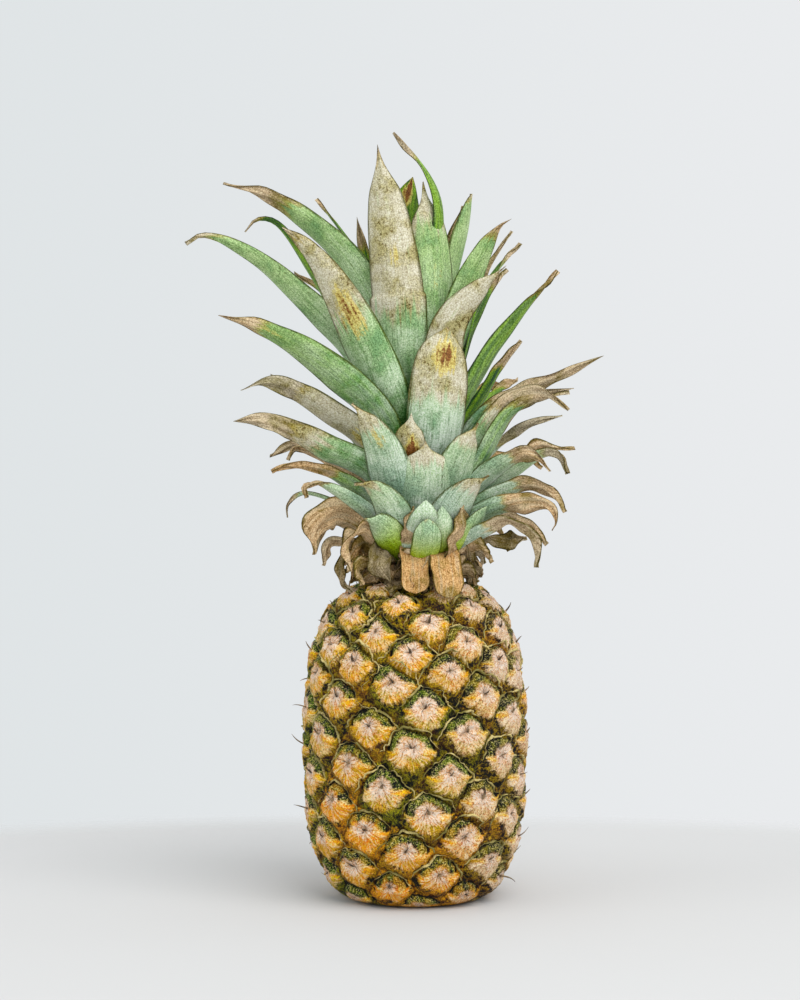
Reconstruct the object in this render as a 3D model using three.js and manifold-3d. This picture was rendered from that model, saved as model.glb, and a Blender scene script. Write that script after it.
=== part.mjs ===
// A whole pineapple standing on its cut stalk: one fused fruit, the stalk it was cut from,
// the short stem at its top and the leaves of the crown that grow from that stem.
// Units are millimetres, +Z is up, the foot of the fruit stands on z = 0.
// The front of the pineapple looks along -Y.  A turn of 0 degrees faces the front and
// a positive turn goes towards +X.
import * as THREE from 'three';
import Module from 'manifold-3d';
import { mergeVertices } from 'three/addons/utils/BufferGeometryUtils.js';

// ---- sizes of the fruit ----
const FRUIT_TOP = 162;
const FOOT_RADIUS = 30;
const STALK_POCKET_RADIUS = 13.6;
const STALK_POCKET_DEPTH = 6;
const STALK_RADIUS = 13;
const STALK_DEPTH = 5.6;
const FRUIT_COLUMNS = 66;
const FRUIT_ROWS = 33;

// ---- spiral of the eyes ----
const EYE_STEP_TURN = -137.6;
const FIRST_EYE_TURN = -4;
const EYE_NUMBERS = [-52, 62];
const EYE_GROOVE = 2.6;
const EYE_REACH = 13.5;

// ---- stem of the crown ----
const STEM_BOTTOM = 162.4;
const STEM_TOP = 248;
const STEM_RADIUS_BOTTOM = 17;
const STEM_RADIUS_TOP = 5;

// ---- leaves ----
const LEAF_RINGS = 8;
const LEAF_THICKNESS = 2.0;
const LEAF_GAP = 0.2;
const FOOT_WIDTH_SHARE = 0.34;

// Height and radius of the fruit's outline, from the flat foot to the neck under the crown.
const FRUIT_PROFILE = [
  [0, 30], [2, 37], [5, 41.5], [8, 44], [13, 46.6], [18, 48.8], [23, 50.6], [28, 52.6],
  [38, 54.6], [48, 55.8], [59, 56.3], [69, 56.7], [79, 57], [89, 57], [99, 56.4], [109, 55.2],
  [119, 54.2], [125, 53.2], [130, 51.6], [135, 49.7], [140, 48], [145, 45.6], [150, 41.4],
  [155, 36.5], [158.5, 31], [160.5, 24],
];

// Leaves from the lowest on the stem to the highest.  Each one has a name, the turn and height
// of its foot on the stem, its width, the bluntness of its taper, the degrees its blade is
// rolled, and the points its middle rib passes through on the way to the tip.
const LEAVES = [
  ['drooping_left_low', -75, 166, 9, 2.4, 30,
    [[-24, -8, 174], [-35, -11, 181], [-44, -13, 177], [-46, -13, 168]]],
  ['drooping_left_wide', -62, 167, 14, 3, 60,
    [[-28, -17, 188], [-39, -25, 194], [-48, -31, 187], [-50, -33, 174]]],
  ['drooping_left_front', -38, 166, 11, 3, 45,
    [[-19, -26, 182], [-28, -35, 186], [-33, -40, 177], [-32, -41, 166]]],
  ['fold_left_front', -28, 168, 16, 3, 30, [[-11, -29, 180], [-17, -34, 188], [-25, -37, 192]]],
  ['fold_front', 6, 165, 14, 5, 0, [[5, -33, 174], [6, -42, 184], [6, -43, 192]]],
  ['fold_front_right', 22, 166, 13, 5, 0, [[13, -24, 176], [16, -28, 187], [16, -27, 196]]],
  ['drooping_right_front', 52, 166, 10, 3, -40,
    [[25, -24, 179], [38, -32, 187], [47, -36, 189], [55, -39, 185], [59, -41, 177], [59, -41, 168]]],
  ['drooping_right_back', 98, 167, 11, 2.6, 0,
    [[28, 6, 183], [44, 9, 192], [58, 12, 190], [68, 14, 178]]],
  ['drooping_back_right', 128, 166, 12, 2.8, 0,
    [[22, 20, 181], [34, 30, 190], [44, 40, 187], [50, 46, 174]]],
  ['drooping_back', 158, 167, 11, 2.6, 0, [[10, 28, 182], [16, 42, 190], [20, 55, 186], [22, 62, 172]]],
  ['drooping_back_left', -168, 166, 12, 2.6, 0,
    [[-7, 29, 181], [-10, 44, 189], [-14, 58, 187], [-18, 68, 176]]],
  ['drooping_left_back', -132, 167, 11, 2.6, 0,
    [[-22, 22, 183], [-36, 34, 190], [-47, 43, 186], [-53, 49, 173]]],
  ['hooked_left_thin', -96, 170, 7, 2.2, 30,
    [[-28, 4, 191], [-46, 5, 202], [-58, 5, 204], [-65, 5, 199], [-65, 5, 192]]],
  ['hooked_left_small', -50, 172, 11, 2.4, 50,
    [[-23, -27, 194], [-38, -38, 205], [-48, -43, 209], [-54, -45, 207], [-53, -45, 202]]],
  ['orange_tip_left', -66, 176, 12, 2.2, 50,
    [[-24, -17, 201], [-38, -24, 212], [-52, -28, 217], [-64, -30, 218], [-71, -31, 215]]],
  ['short_front_left', -22, 172, 19, 3, 15,
    [[-10, -31, 191], [-17, -38, 203], [-24, -40, 208], [-30, -40, 209]]],
  ['small_front', 10, 171, 14, 4, 0, [[3, -34, 185], [5, -41, 194], [5, -41, 201]]],
  ['short_front_right', 30, 172, 20, 3, -15,
    [[16, -29, 190], [23, -36, 202], [30, -39, 209], [36, -39, 213]]],
  ['hooked_right_orange', 56, 170, 10, 2.6, -50,
    [[28, -22, 190], [42, -29, 198], [56, -34, 200], [66, -36, 197], [69, -36, 190], [67, -36, 186]]],
  ['hooked_right_brown', 68, 174, 10, 2.4, -50,
    [[30, -17, 196], [48, -24, 206], [60, -27, 208], [70, -29, 202], [74, -30, 195]]],
  ['back_right_low', 112, 176, 15, 2.4, 0,
    [[27, 11, 202], [46, 19, 219], [66, 27, 228], [84, 34, 228]]],
  ['back_low', 172, 175, 16, 2.4, 0, [[5, 29, 201], [8, 48, 218], [10, 68, 226], [11, 86, 224]]],
  ['back_left_low', -146, 176, 15, 2.4, 0,
    [[-19, 25, 202], [-33, 42, 219], [-47, 58, 229], [-60, 72, 230]]],
  ['brown_left', -84, 180, 11, 3, 50,
    [[-26, -4, 206], [-39, -6, 217], [-53, -7, 226], [-61, -7, 227], [-64, -7, 221]]],
  ['long_left_low', -58, 186, 18, 2.6, 50,
    [[-22, -22, 213], [-44, -36, 226], [-60, -44, 235], [-76, -50, 240], [-88, -54, 239]]],
  ['heart_front', 6, 178, 24, 4.5, 0, [[4, -25, 196], [5, -32, 211], [5, -35, 223], [5, -35, 230]]],
  ['broad_front_right', 34, 182, 21, 3, -15,
    [[17, -22, 203], [22, -29, 219], [27, -32, 232], [31, -32, 239]]],
  ['arching_right', 60, 181, 12, 2.6, -40,
    [[28, -18, 205], [42, -27, 218], [53, -32, 223], [61, -35, 221], [66, -37, 215]]],
  ['pale_tip_right', 78, 182, 10, 2.4, -50,
    [[27, -9, 202], [47, -14, 214], [63, -17, 223], [73, -19, 222], [76, -19, 214]]],
  ['grey_tip_right', 100, 186, 12, 2.2, -45, [[25, 2, 210], [42, 3, 228], [56, 3, 238], [75, 2, 244]]],
  ['back_right_middle', 140, 190, 17, 2.4, 0,
    [[17, 18, 216], [31, 34, 242], [45, 52, 259], [56, 68, 266]]],
  ['back_left_middle', -120, 191, 17, 2.4, 0,
    [[-21, 14, 217], [-40, 25, 242], [-59, 37, 259], [-76, 48, 267]]],
  ['broad_front_left', -30, 188, 25, 3, 20,
    [[-12, -29, 208], [-16, -37, 224], [-24, -43, 239], [-31, -45, 248]]],
  ['dry_left', -72, 196, 17, 2.4, 50,
    [[-24, -12, 228], [-44, -21, 245], [-61, -27, 255], [-75, -31, 259], [-86, -33, 255]]],
  ['dried_front', -2, 190, 14, 5, 0, [[-2, -25, 213], [-3, -33, 229], [-2, -34, 244]]],
  ['green_right', 82, 195, 11, 2.2, -25,
    [[25, -8, 222], [43, -13, 240], [58, -16, 250], [77, -18, 255]]],
  ['brown_arch_right', 50, 194, 17, 2.6, -45,
    [[26, -15, 216], [38, -24, 237], [51, -31, 251], [64, -36, 253], [75, -39, 245]]],
  ['left_low_broad', -54, 206, 21, 2.8, 47,
    [[-18, -20, 240], [-45, -37, 267], [-74, -50, 284], [-95, -56, 290]]],
  ['back_leaf', 176, 204, 19, 2.4, 0, [[4, 20, 232], [7, 36, 268], [10, 56, 295], [12, 72, 308]]],
  ['upright_front_right', 16, 202, 32, 3.6, -8,
    [[9, -22, 226], [12, -28, 254], [14, -28, 276], [16, -25, 287]]],
  ['long_right_brown', 84, 207, 12, 2, -45,
    [[34, -10, 241], [56, -15, 255], [78, -18, 266], [94, -19, 273]]],
  ['olive_right', 108, 208, 12, 2.4, -40, [[22, 5, 234], [35, 5, 253], [46, 3, 272], [54, 1, 282]]],
  ['long_right', 70, 214, 14, 2, -30, [[23, -12, 246], [38, -18, 274], [56, -21, 298], [71, -22, 315]]],
  ['back_right_tall', 146, 216, 18, 2.4, 0,
    [[14, 18, 248], [27, 34, 286], [40, 51, 312], [50, 64, 325]]],
  ['left_sweeping', -66, 216, 18, 2.6, 47,
    [[-30, -14, 272], [-57, -23, 302], [-83, -29, 323], [-105, -33, 331], [-113, -34, 327]]],
  ['cream_left', -34, 218, 27, 2.4, 25,
    [[-14, -20, 250], [-33, -33, 293], [-51, -40, 322], [-65, -43, 334]]],
  ['dark_narrow_right', 92, 222, 9, 2, 0, [[21, -1, 256], [28, -2, 286], [38, -3, 320], [49, -4, 337]]],
  ['whitish_right', 36, 220, 16, 2.4, -40,
    [[11, -17, 256], [17, -22, 288], [31, -26, 305], [45, -28, 317]]],
  ['hooked_tip_left', -104, 222, 14, 2.4, 50,
    [[-19, 8, 262], [-43, 16, 302], [-59, 21, 328], [-73, 23, 345], [-82, 24, 346], [-88, 24, 340]]],
  ['tall_centre', -14, 228, 31, 3.6, 0,
    [[-8, -12, 262], [-10, -14, 306], [-15, -10, 348], [-19, -8, 380]]],
  ['right_upper', 58, 230, 16, 2.8, -45,
    [[17, -12, 278], [28, -16, 312], [42, -20, 337], [48, -21, 341]]],
  ['tall_pale', 22, 236, 18, 3, 0, [[6, -8, 272], [8, -9, 306], [7, -6, 336], [4, -4, 362]]],
  ['back_left_tall', -82, 234, 19, 2.4, 50,
    [[-12, 0, 276], [-29, 4, 315], [-48, 7, 337], [-74, 8, 355], [-98, 8, 363]]],
  ['slender_back_left', -140, 240, 15, 2.2, 30,
    [[-9, 12, 284], [-25, 17, 318], [-39, 21, 341], [-51, 23, 357]]],
  ['inner_back', 160, 243, 14, 2.8, 0, [[0, 18, 285], [-4, 23, 330], [-4, 22, 354], [-1, 20, 368]]],
  ['twisted_tip', 62, 242, 9, 2, 0,
    [[11, -1, 290], [13, -1, 332], [12, -4, 354], [3, -7, 371], [-11, -9, 386]]],
  ['pale_right', 100, 238, 16, 4, -70, [[13, 10, 276], [20, 12, 312], [27, 12, 342], [29, 11, 357]]],
];

const degrees = (value) => value * Math.PI / 180;

// A number read off a list of [where, value] steps, running straight between them.
function readSteps(steps, where) {
  for (let i = 1; i < steps.length; i++) {
    if (where <= steps[i][0]) {
      const share = (where - steps[i - 1][0]) / (steps[i][0] - steps[i - 1][0]);
      return steps[i - 1][1] + Math.max(0, share) * (steps[i][1] - steps[i - 1][1]);
    }
  }
  return steps[steps.length - 1][1];
}

// Centres of the eyes: one spiral up the fruit, tighter above the middle.
function eyeCentres() {
  const centres = [];
  for (let n = EYE_NUMBERS[0]; n <= EYE_NUMBERS[1]; n++) {
    const height = n <= 22 ? 80 + 1.5 * n : 113 + 1.15 * (n - 22);
    centres.push({ turn: FIRST_EYE_TURN + EYE_STEP_TURN * n, height });
  }
  return centres;
}

// How deep the rind lies under its outline: nothing at an eye's centre, most in the grooves.
function grooveDepth(turn, height, radius, centres) {
  let nearest = EYE_REACH;
  for (const eye of centres) {
    const around = ((turn - eye.turn) % 360 + 540) % 360 - 180;
    const across = degrees(around) * radius;
    nearest = Math.min(nearest, Math.hypot(across, height - eye.height));
  }
  return EYE_GROOVE * (nearest / EYE_REACH) ** 3;
}

// Closed solid from rings of points that run upward, with a point closing each end.
function ringSolid(rings, bottom, top) {
  const count = rings[0].length;
  const points = rings.flat().concat([bottom, top]);
  const faces = [];
  for (let row = 0; row < rings.length - 1; row++) {
    for (let i = 0; i < count; i++) {
      const a = row * count + i;
      const b = row * count + (i + 1) % count;
      faces.push(a, b, b + count, a, b + count, a + count);
    }
  }
  const last = (rings.length - 1) * count;
  for (let i = 0; i < count; i++) {
    const next = (i + 1) % count;
    faces.push(rings.length * count, next, i);
    faces.push(last + i, last + next, rings.length * count + 1);
  }
  const geometry = new THREE.BufferGeometry();
  geometry.setAttribute('position', new THREE.Float32BufferAttribute(points.flat(), 3));
  geometry.setIndex(faces);
  return geometry;
}

// One ring of points at a height, its radius a function of the turn.
function levelRing(count, height, radiusAt) {
  const ring = [];
  for (let i = 0; i < count; i++) {
    const turn = 360 * i / count;
    const radius = radiusAt(turn);
    ring.push([radius * Math.sin(degrees(turn)), -radius * Math.cos(degrees(turn)), height]);
  }
  return ring;
}

// The fruit: a ring of pocket wall, the flat foot, then the rind with its eyes up to the neck.
function makeFruit() {
  const centres = eyeCentres();
  const rings = [
    levelRing(FRUIT_COLUMNS, STALK_POCKET_DEPTH, () => STALK_POCKET_RADIUS),
    levelRing(FRUIT_COLUMNS, 0, () => STALK_POCKET_RADIUS + 2),
    levelRing(FRUIT_COLUMNS, 0, () => FOOT_RADIUS),
  ];
  for (let row = 1; row <= FRUIT_ROWS; row++) {
    const share = row / FRUIT_ROWS;
    const height = 160.5 * (share - 0.35 * Math.sin(2 * Math.PI * share) / (2 * Math.PI));
    const outline = readSteps(FRUIT_PROFILE, height);
    const fade = Math.min(1, height / 8, (FRUIT_TOP - height) / 10);
    rings.push(levelRing(FRUIT_COLUMNS, height,
      (turn) => outline - fade * grooveDepth(turn, height, outline, centres)));
  }
  return ringSolid(rings, [0, 0, STALK_POCKET_DEPTH], [0, 0, FRUIT_TOP]);
}

// The cut end of the stalk: a round plug with a rounded upper edge.
function makeStalk() {
  const rings = [
    levelRing(32, 0, () => STALK_RADIUS - 0.6),
    levelRing(32, 0.6, () => STALK_RADIUS),
    levelRing(32, STALK_DEPTH - 0.8, () => STALK_RADIUS),
    levelRing(32, STALK_DEPTH, () => STALK_RADIUS - 0.8),
  ];
  return ringSolid(rings, [0, 0, 0], [0, 0, STALK_DEPTH]);
}

function stemRadius(height) {
  const share = (height - STEM_BOTTOM) / (STEM_TOP - STEM_BOTTOM);
  return STEM_RADIUS_BOTTOM + (STEM_RADIUS_TOP - STEM_RADIUS_BOTTOM) * share;
}

// The short stem of the crown, narrowing to a rounded growing tip.
function makeStem() {
  const rings = [];
  for (let row = 0; row <= 8; row++) {
    const height = STEM_BOTTOM + (STEM_TOP - STEM_BOTTOM) * row / 8;
    rings.push(levelRing(20, height, () => stemRadius(height)));
  }
  rings.push(levelRing(20, STEM_TOP + 2.6, () => STEM_RADIUS_TOP * 0.7));
  return ringSolid(rings, [0, 0, STEM_BOTTOM], [0, 0, STEM_TOP + 3.6]);
}

// A leaf: a tapering channel that starts at the stem and follows its middle rib.  Each ring
// has five points on the inner face and three on the outer one, which meet at thin margins.
function makeLeaf([, turn, height, width, bluntness, roll, ribPoints]) {
  const start = stemRadius(height) + 0.6;
  const foot = [start * Math.sin(degrees(turn)), -start * Math.cos(degrees(turn)), height];
  const rib = new THREE.CatmullRomCurve3(
    [foot, ...ribPoints].map((point) => new THREE.Vector3(...point)), false, 'centripetal');
  const sideways = new THREE.Vector3(Math.cos(degrees(turn)), Math.sin(degrees(turn)), 0);
  const channel = degrees(48);
  const rings = [];
  for (let row = 0; row < LEAF_RINGS; row++) {
    const share = 0.97 * row / (LEAF_RINGS - 1);
    const middle = rib.getPointAt(share);
    const along = rib.getTangentAt(share);
    const side = sideways.clone().addScaledVector(along, -sideways.dot(along)).normalize();
    side.applyAxisAngle(along, degrees(roll) * Math.min(1, 2 * share));
    const inward = side.clone().cross(along).negate();
    const spread = Math.min(1, share / 0.36);
    const base = FOOT_WIDTH_SHARE + (1 - FOOT_WIDTH_SHARE) * spread * spread * (3 - 2 * spread);
    const halfWidth = Math.max(0.5, width / 2 * base * (1 - share ** bluntness));
    const thickness = LEAF_THICKNESS * (1 - 0.6 * share);
    const ring = [];
    for (const [across, outer] of [
      [-1, 0], [-0.5, 1], [0, 1], [0.5, 1], [1, 0], [0.5, 0], [0, 0], [-0.5, 0]]) {
      const x = halfWidth / channel * Math.sin(across * channel);
      const bow = halfWidth / channel * (1 - Math.cos(across * channel));
      const layer = (outer ? -1 : 1) * thickness / 2 * (1 - across * across);
      const point = middle.clone().addScaledVector(side, x).addScaledVector(inward, bow + layer);
      ring.push(point.toArray());
    }
    rings.push(ring);
  }
  const tip = rib.getPointAt(1).toArray();
  return ringSolid(rings, rib.getPointAt(0).toArray(), tip);
}

const wasm = await Module();
wasm.setup();

// A three.js geometry as a manifold solid.
function toSolid(geometry) {
  const bare = geometry.clone();
  bare.deleteAttribute('normal');
  bare.deleteAttribute('uv');
  const merged = mergeVertices(bare, 1e-4);
  return new wasm.Manifold(new wasm.Mesh({
    numProp: 3,
    vertProperties: new Float32Array(merged.attributes.position.array),
    triVerts: new Uint32Array(merged.index.array),
  }));
}

// A manifold solid back as a three.js geometry.
function toGeometry(solid) {
  const mesh = solid.getMesh();
  const geometry = new THREE.BufferGeometry();
  geometry.setAttribute('position', new THREE.Float32BufferAttribute(mesh.vertProperties, 3));
  geometry.setIndex(Array.from(mesh.triVerts));
  return geometry;
}

// The biggest of the pieces a solid falls into.
function biggestPiece(solid) {
  return solid.decompose().sort((a, b) => b.volume() - a.volume())[0];
}

// A solid together with copies of it moved a little towards each corner of a cube.
function thickened(solid) {
  const copies = [solid];
  for (const x of [-LEAF_GAP, LEAF_GAP]) {
    for (const y of [-LEAF_GAP, LEAF_GAP]) {
      for (const z of [-LEAF_GAP, LEAF_GAP]) {
        copies.push(solid.translate([x, y, z]));
      }
    }
  }
  return wasm.Manifold.union(copies);
}

// Leaves cut clear of the fruit, the stem and of every leaf below them on the stem.
function clearedLeaves(fruit, stem) {
  const cleared = [];
  for (const leaf of LEAVES) {
    let solid = toSolid(makeLeaf(leaf));
    for (const other of [fruit, stem, ...cleared.map((entry) => entry[1])]) {
      if (solid.intersect(other).volume() > 0.001) {
        solid = biggestPiece(solid.subtract(thickened(other)));
      }
    }
    cleared.push([leaf[0], solid]);
  }
  return cleared;
}

const group = new THREE.Group();

function addPiece(name, geometry, color, roughness) {
  geometry.computeVertexNormals();
  const material = new THREE.MeshStandardMaterial({ color, roughness, metalness: 0 });
  const mesh = new THREE.Mesh(geometry, material);
  mesh.name = name;
  group.add(mesh);
}

const fruitGeometry = makeFruit();
const stemGeometry = makeStem();
addPiece('fruit', fruitGeometry, '#c8963f', 0.6);
addPiece('cut_stalk', makeStalk(), '#b79a6a', 0.9);
addPiece('crown_stem', stemGeometry, '#cdc79a', 0.8);
for (const [name, solid] of clearedLeaves(toSolid(fruitGeometry), toSolid(stemGeometry))) {
  addPiece(`leaf_${name}`, toGeometry(solid), '#8fb39a', 0.55);
}

export default group;
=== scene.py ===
import bpy
import math
import numpy as np
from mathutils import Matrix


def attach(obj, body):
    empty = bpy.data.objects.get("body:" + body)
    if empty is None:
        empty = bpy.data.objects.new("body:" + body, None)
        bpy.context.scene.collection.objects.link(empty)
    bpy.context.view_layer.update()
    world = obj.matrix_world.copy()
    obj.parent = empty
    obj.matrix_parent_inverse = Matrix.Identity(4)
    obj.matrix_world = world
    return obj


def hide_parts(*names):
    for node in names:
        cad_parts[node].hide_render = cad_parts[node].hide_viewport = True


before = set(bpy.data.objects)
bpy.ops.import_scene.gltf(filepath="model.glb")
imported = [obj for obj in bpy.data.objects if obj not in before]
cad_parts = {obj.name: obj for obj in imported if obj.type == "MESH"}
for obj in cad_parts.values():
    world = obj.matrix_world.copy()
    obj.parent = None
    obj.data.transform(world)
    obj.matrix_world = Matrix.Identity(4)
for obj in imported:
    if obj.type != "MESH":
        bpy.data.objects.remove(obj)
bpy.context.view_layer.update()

# ----------------------------------------
# The studio: a round matt board whose edge fades into a wide even sky of soft white light,
# a large soft lamp above at the right, a weak one at the left, and a level camera in front.
# ----------------------------------------


def linear(hex_colour):
    """An sRGB hex colour as linear red, green, blue and alpha."""
    parts = [int(hex_colour[i:i + 2], 16) / 255 for i in (1, 3, 5)]
    return [p / 12.92 if p <= 0.04045 else ((p + 0.055) / 1.055) ** 2.4 for p in parts] + [1.0]


def node(tree, kind, values=(), out=None, **settings):
    """Adds a shader node with its settings, and returns its output called out, or else its
    first open one.  Values fill its open inputs in order, or by name from a dict: another
    node's output is linked, and a hex colour is made linear."""
    made = tree.nodes.new("ShaderNode" + kind)
    for key, value in settings.items():
        setattr(made, key, value)
    sockets = [socket for socket in made.inputs if socket.enabled]
    if isinstance(values, dict):
        sockets = [made.inputs[name] for name in values]
        values = values.values()
    for socket, value in zip(sockets, values):
        if isinstance(value, bpy.types.NodeSocket):
            tree.links.new(value, socket)
        else:
            socket.default_value = linear(value) if isinstance(value, str) else value
    results = [socket for socket in made.outputs if socket.enabled]
    return made.outputs[out] if out else next(iter(results), None)


def new_material(name):
    """A material and its tree of nodes, still empty."""
    material = bpy.data.materials.new(name)
    material.use_nodes = True
    material.node_tree.nodes.clear()
    return material, material.node_tree


def mesh_object(name, points, faces, material, attributes=(), uv=None):
    """A smooth-shaded object from points in millimetres and lists of faces, with float
    attributes on its points and a UV for each corner of each face."""
    mesh = bpy.data.meshes.new(name)
    mesh.from_pydata((np.asarray(points) / 1000).tolist(), [], [list(face) for face in faces])
    for key, values in dict(attributes).items():
        layer = mesh.attributes.new(key, "FLOAT", "POINT")
        layer.data.foreach_set("value", np.ascontiguousarray(values, np.float32).ravel())
    if uv is not None:
        layer = mesh.uv_layers.new(name="grain")
        layer.data.foreach_set("uv", np.ascontiguousarray(uv, np.float32).ravel())
    mesh.polygons.foreach_set("use_smooth", np.full(len(mesh.polygons), True))
    mesh.materials.append(material)
    mesh.update()
    made = bpy.data.objects.new(name, mesh)
    bpy.context.scene.collection.objects.link(made)
    return made


camera = bpy.data.objects.new("camera", bpy.data.cameras.new("camera"))
camera.location = (-0.0076, -1.1, 0.201)
camera.rotation_euler = (math.pi / 2, 0, 0)
camera.data.lens = 78
camera.data.sensor_width = 36
bpy.context.scene.collection.objects.link(camera)
bpy.context.scene.camera = camera
bpy.context.scene.view_settings.view_transform = "Standard"

# Matt painted board: an even pale grey without a glint, clouded a little every 330 mm.  It
# is 770 mm in radius round a place 460 mm in front of the fruit, and fades out at its edge.
BOARD_RADIUS, BOARD_AHEAD = 770, 460
board, tree = new_material("matt_floor_board")
place = node(tree, "TexCoord", out="Object")
cloud = node(tree, "TexNoise", [place, 3.0, 2.0])
tone = node(tree, "Mix", [cloud, "#CCCBCA", "#D0D0D0"], data_type="RGBA")
centred = node(tree, "VectorMath", [place, (0, BOARD_AHEAD / 1000, 0)], operation="ADD")
distance = node(tree, "VectorMath", [centred], operation="LENGTH")
fade = node(tree, "MapRange", [distance, 0.69, 0.76, 1, 0], interpolation_type="SMOOTHSTEP")
shader = node(tree, "BsdfPrincipled", {"Base Color": tone, "Alpha": fade, "Roughness": 0.95,
                                       "Specular IOR Level": 0.1})
node(tree, "OutputMaterial", [shader])

round_turn = np.linspace(0, 2 * math.pi, 96, endpoint=False)
board_points = np.stack([BOARD_RADIUS * np.cos(round_turn),
                         BOARD_RADIUS * np.sin(round_turn) - BOARD_AHEAD, np.zeros(96)], axis=1)
floor = mesh_object("floor_board", board_points, [range(96)], board)

world = bpy.data.worlds.new("soft_light")
bpy.context.scene.world = world
world.use_nodes = True
# the sky is a shade brighter and less green at the right
sky_tree = world.node_tree
toward = node(sky_tree, "TexCoord", out="Generated")
toward_x = node(sky_tree, "SeparateXYZ", [toward], out="X")
side = node(sky_tree, "MapRange", [toward_x, -0.25, 0.25], interpolation_type="SMOOTHSTEP")
tone = node(sky_tree, "Mix", [side, "#F0F5F7", "#FBFDFF"], data_type="RGBA")
sky = sky_tree.nodes["Background"]
sky_tree.links.new(tone, sky.inputs["Color"])
sky.inputs["Strength"].default_value = 0.85
# each lamp: its place, what it is turned towards, its side in metres and its watts
for name, place_mm, aim_mm, size, watts in (
        ("lamp_above", (1300, -1900, 2500), (0, 0, 180), 3.0, 86),
        ("lamp_left", (-2400, -1200, 1400), (0, 0, 200), 2.0, 12)):
    lamp = bpy.data.objects.new(name, bpy.data.lights.new(name, "AREA"))
    lamp.data.size = size
    lamp.data.energy = watts
    start = np.array(place_mm, float)
    aim = np.array(aim_mm, float) - start
    flat = math.hypot(aim[0], aim[1])
    lamp.location = start / 1000
    lamp.rotation_euler = (math.atan2(flat, -aim[2]), 0, math.atan2(aim[1], aim[0]) - math.pi / 2)
    bpy.context.scene.collection.objects.link(lamp)

# ----------------------------------------
# The rind of the fruit: more than a hundred berries fused into one skin, set on a spiral
# that turns by the golden angle.  Each berry ends in an eye, a cushion with a bract grown
# over its lower half, ripe yellow to orange at its corners and mossy green round the top.
# ----------------------------------------

# The outline from the hollow foot, down round it and up to the neck: radius and height.
RIND_OUTLINE = [
    [0, 6], [6, 6], [12, 5.6], [14.4, 2.6], [16.5, 0.1], [22, 0], [27, 0], [31, 0.2], [37, 2],
    [41.5, 5], [44, 8], [46.6, 13], [48.8, 18], [50.6, 23], [52.6, 28], [54.6, 38], [55.8, 48],
    [56.3, 59], [56.7, 69], [57, 79], [57, 89], [56.4, 99], [55.2, 109], [54.2, 119],
    [53.2, 125], [51.6, 130], [49.7, 135], [48, 140], [45.6, 145], [41.4, 150], [36.5, 155],
    [31, 158.5], [24, 160.7], [16, 162], [7, 162.6], [0, 162.6]]


def smooth(low, high, value):
    """Eases from 0 to 1 as value goes from low to high."""
    share = np.clip((value - low) / (high - low), 0, 1)
    return share * share * (3 - 2 * share)


def rib(points, places):
    """A smooth curve through points (a centripetal Catmull-Rom spline), as points at the
    given shares of its length."""
    knots = np.asarray(points, float)
    knots = np.vstack([2 * knots[0] - knots[1], knots, 2 * knots[-1] - knots[-2]])
    gaps = np.sqrt(np.linalg.norm(np.diff(knots, axis=0), axis=1))
    t = np.linspace(0, 1, 40)[:, None]
    runs = []
    for i in range(1, len(knots) - 2):
        a, b, c, d = knots[i - 1:i + 3]
        g0, g1, g2 = gaps[i - 1:i + 2]
        start = ((b - a) / g0 - (c - a) / (g0 + g1) + (c - b) / g1) * g1
        end = ((c - b) / g1 - (d - b) / (g1 + g2) + (d - c) / g2) * g1
        runs.append(b + start * t + (3 * (c - b) - 2 * start - end) * t ** 2
                    + (2 * (b - c) + start + end) * t ** 3)
    dense = np.vstack(runs)
    length = np.concatenate([[0], np.cumsum(np.linalg.norm(np.diff(dense, axis=0), axis=1))])
    return np.stack([np.interp(places * length[-1], length, dense[:, k]) for k in range(3)],
                    axis=1)


def grid_faces(rows, columns):
    """Four-sided faces of a grid of points, rows by columns, closed round its columns."""
    row, column = np.meshgrid(np.arange(rows - 1), np.arange(columns), indexing="ij")
    here = row * columns + column
    beside = row * columns + (column + 1) % columns
    return np.stack([here, beside, beside + columns, here + columns], axis=-1).reshape(-1, 4)


def end_caps(rows, columns):
    """Triangles that close the two ends of a grid wrapped round its columns, each on a
    point of its own: the first and second after the grid's points."""
    ring = np.arange(columns)
    beside = (ring + 1) % columns
    top = (rows - 1) * columns
    pole = np.full(columns, rows * columns)
    return np.concatenate([np.stack([beside, ring, pole], 1),
                           np.stack([top + ring, top + beside, pole + 1], 1)])


def unit(vectors):
    """Vectors made one long: each over its own length."""
    return vectors / np.linalg.norm(vectors, axis=-1, keepdims=True)


def turn_between(start, turn):
    """The shorter way from start to turn in degrees, from -180 to 180."""
    return (turn - start + 180) % 360 - 180


outline = rib([[r, 0, z] for r, z in RIND_OUTLINE], np.linspace(0, 1, 1200))[:, [0, 2]]
outline_run = np.concatenate([[0], np.cumsum(np.linalg.norm(np.diff(outline, axis=0), axis=1))])
along_outline = unit(np.gradient(outline, axis=0))
side_from = int(np.argmax(outline[:, 0] > 46))
top_at = int(len(outline) - 1 - np.argmax(outline[::-1, 1] < 158))


def run_at_height(height):
    """Distance along the outline at a height on the outside of the fruit."""
    return np.interp(height, outline[side_from:top_at, 1], outline_run[side_from:top_at])


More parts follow.
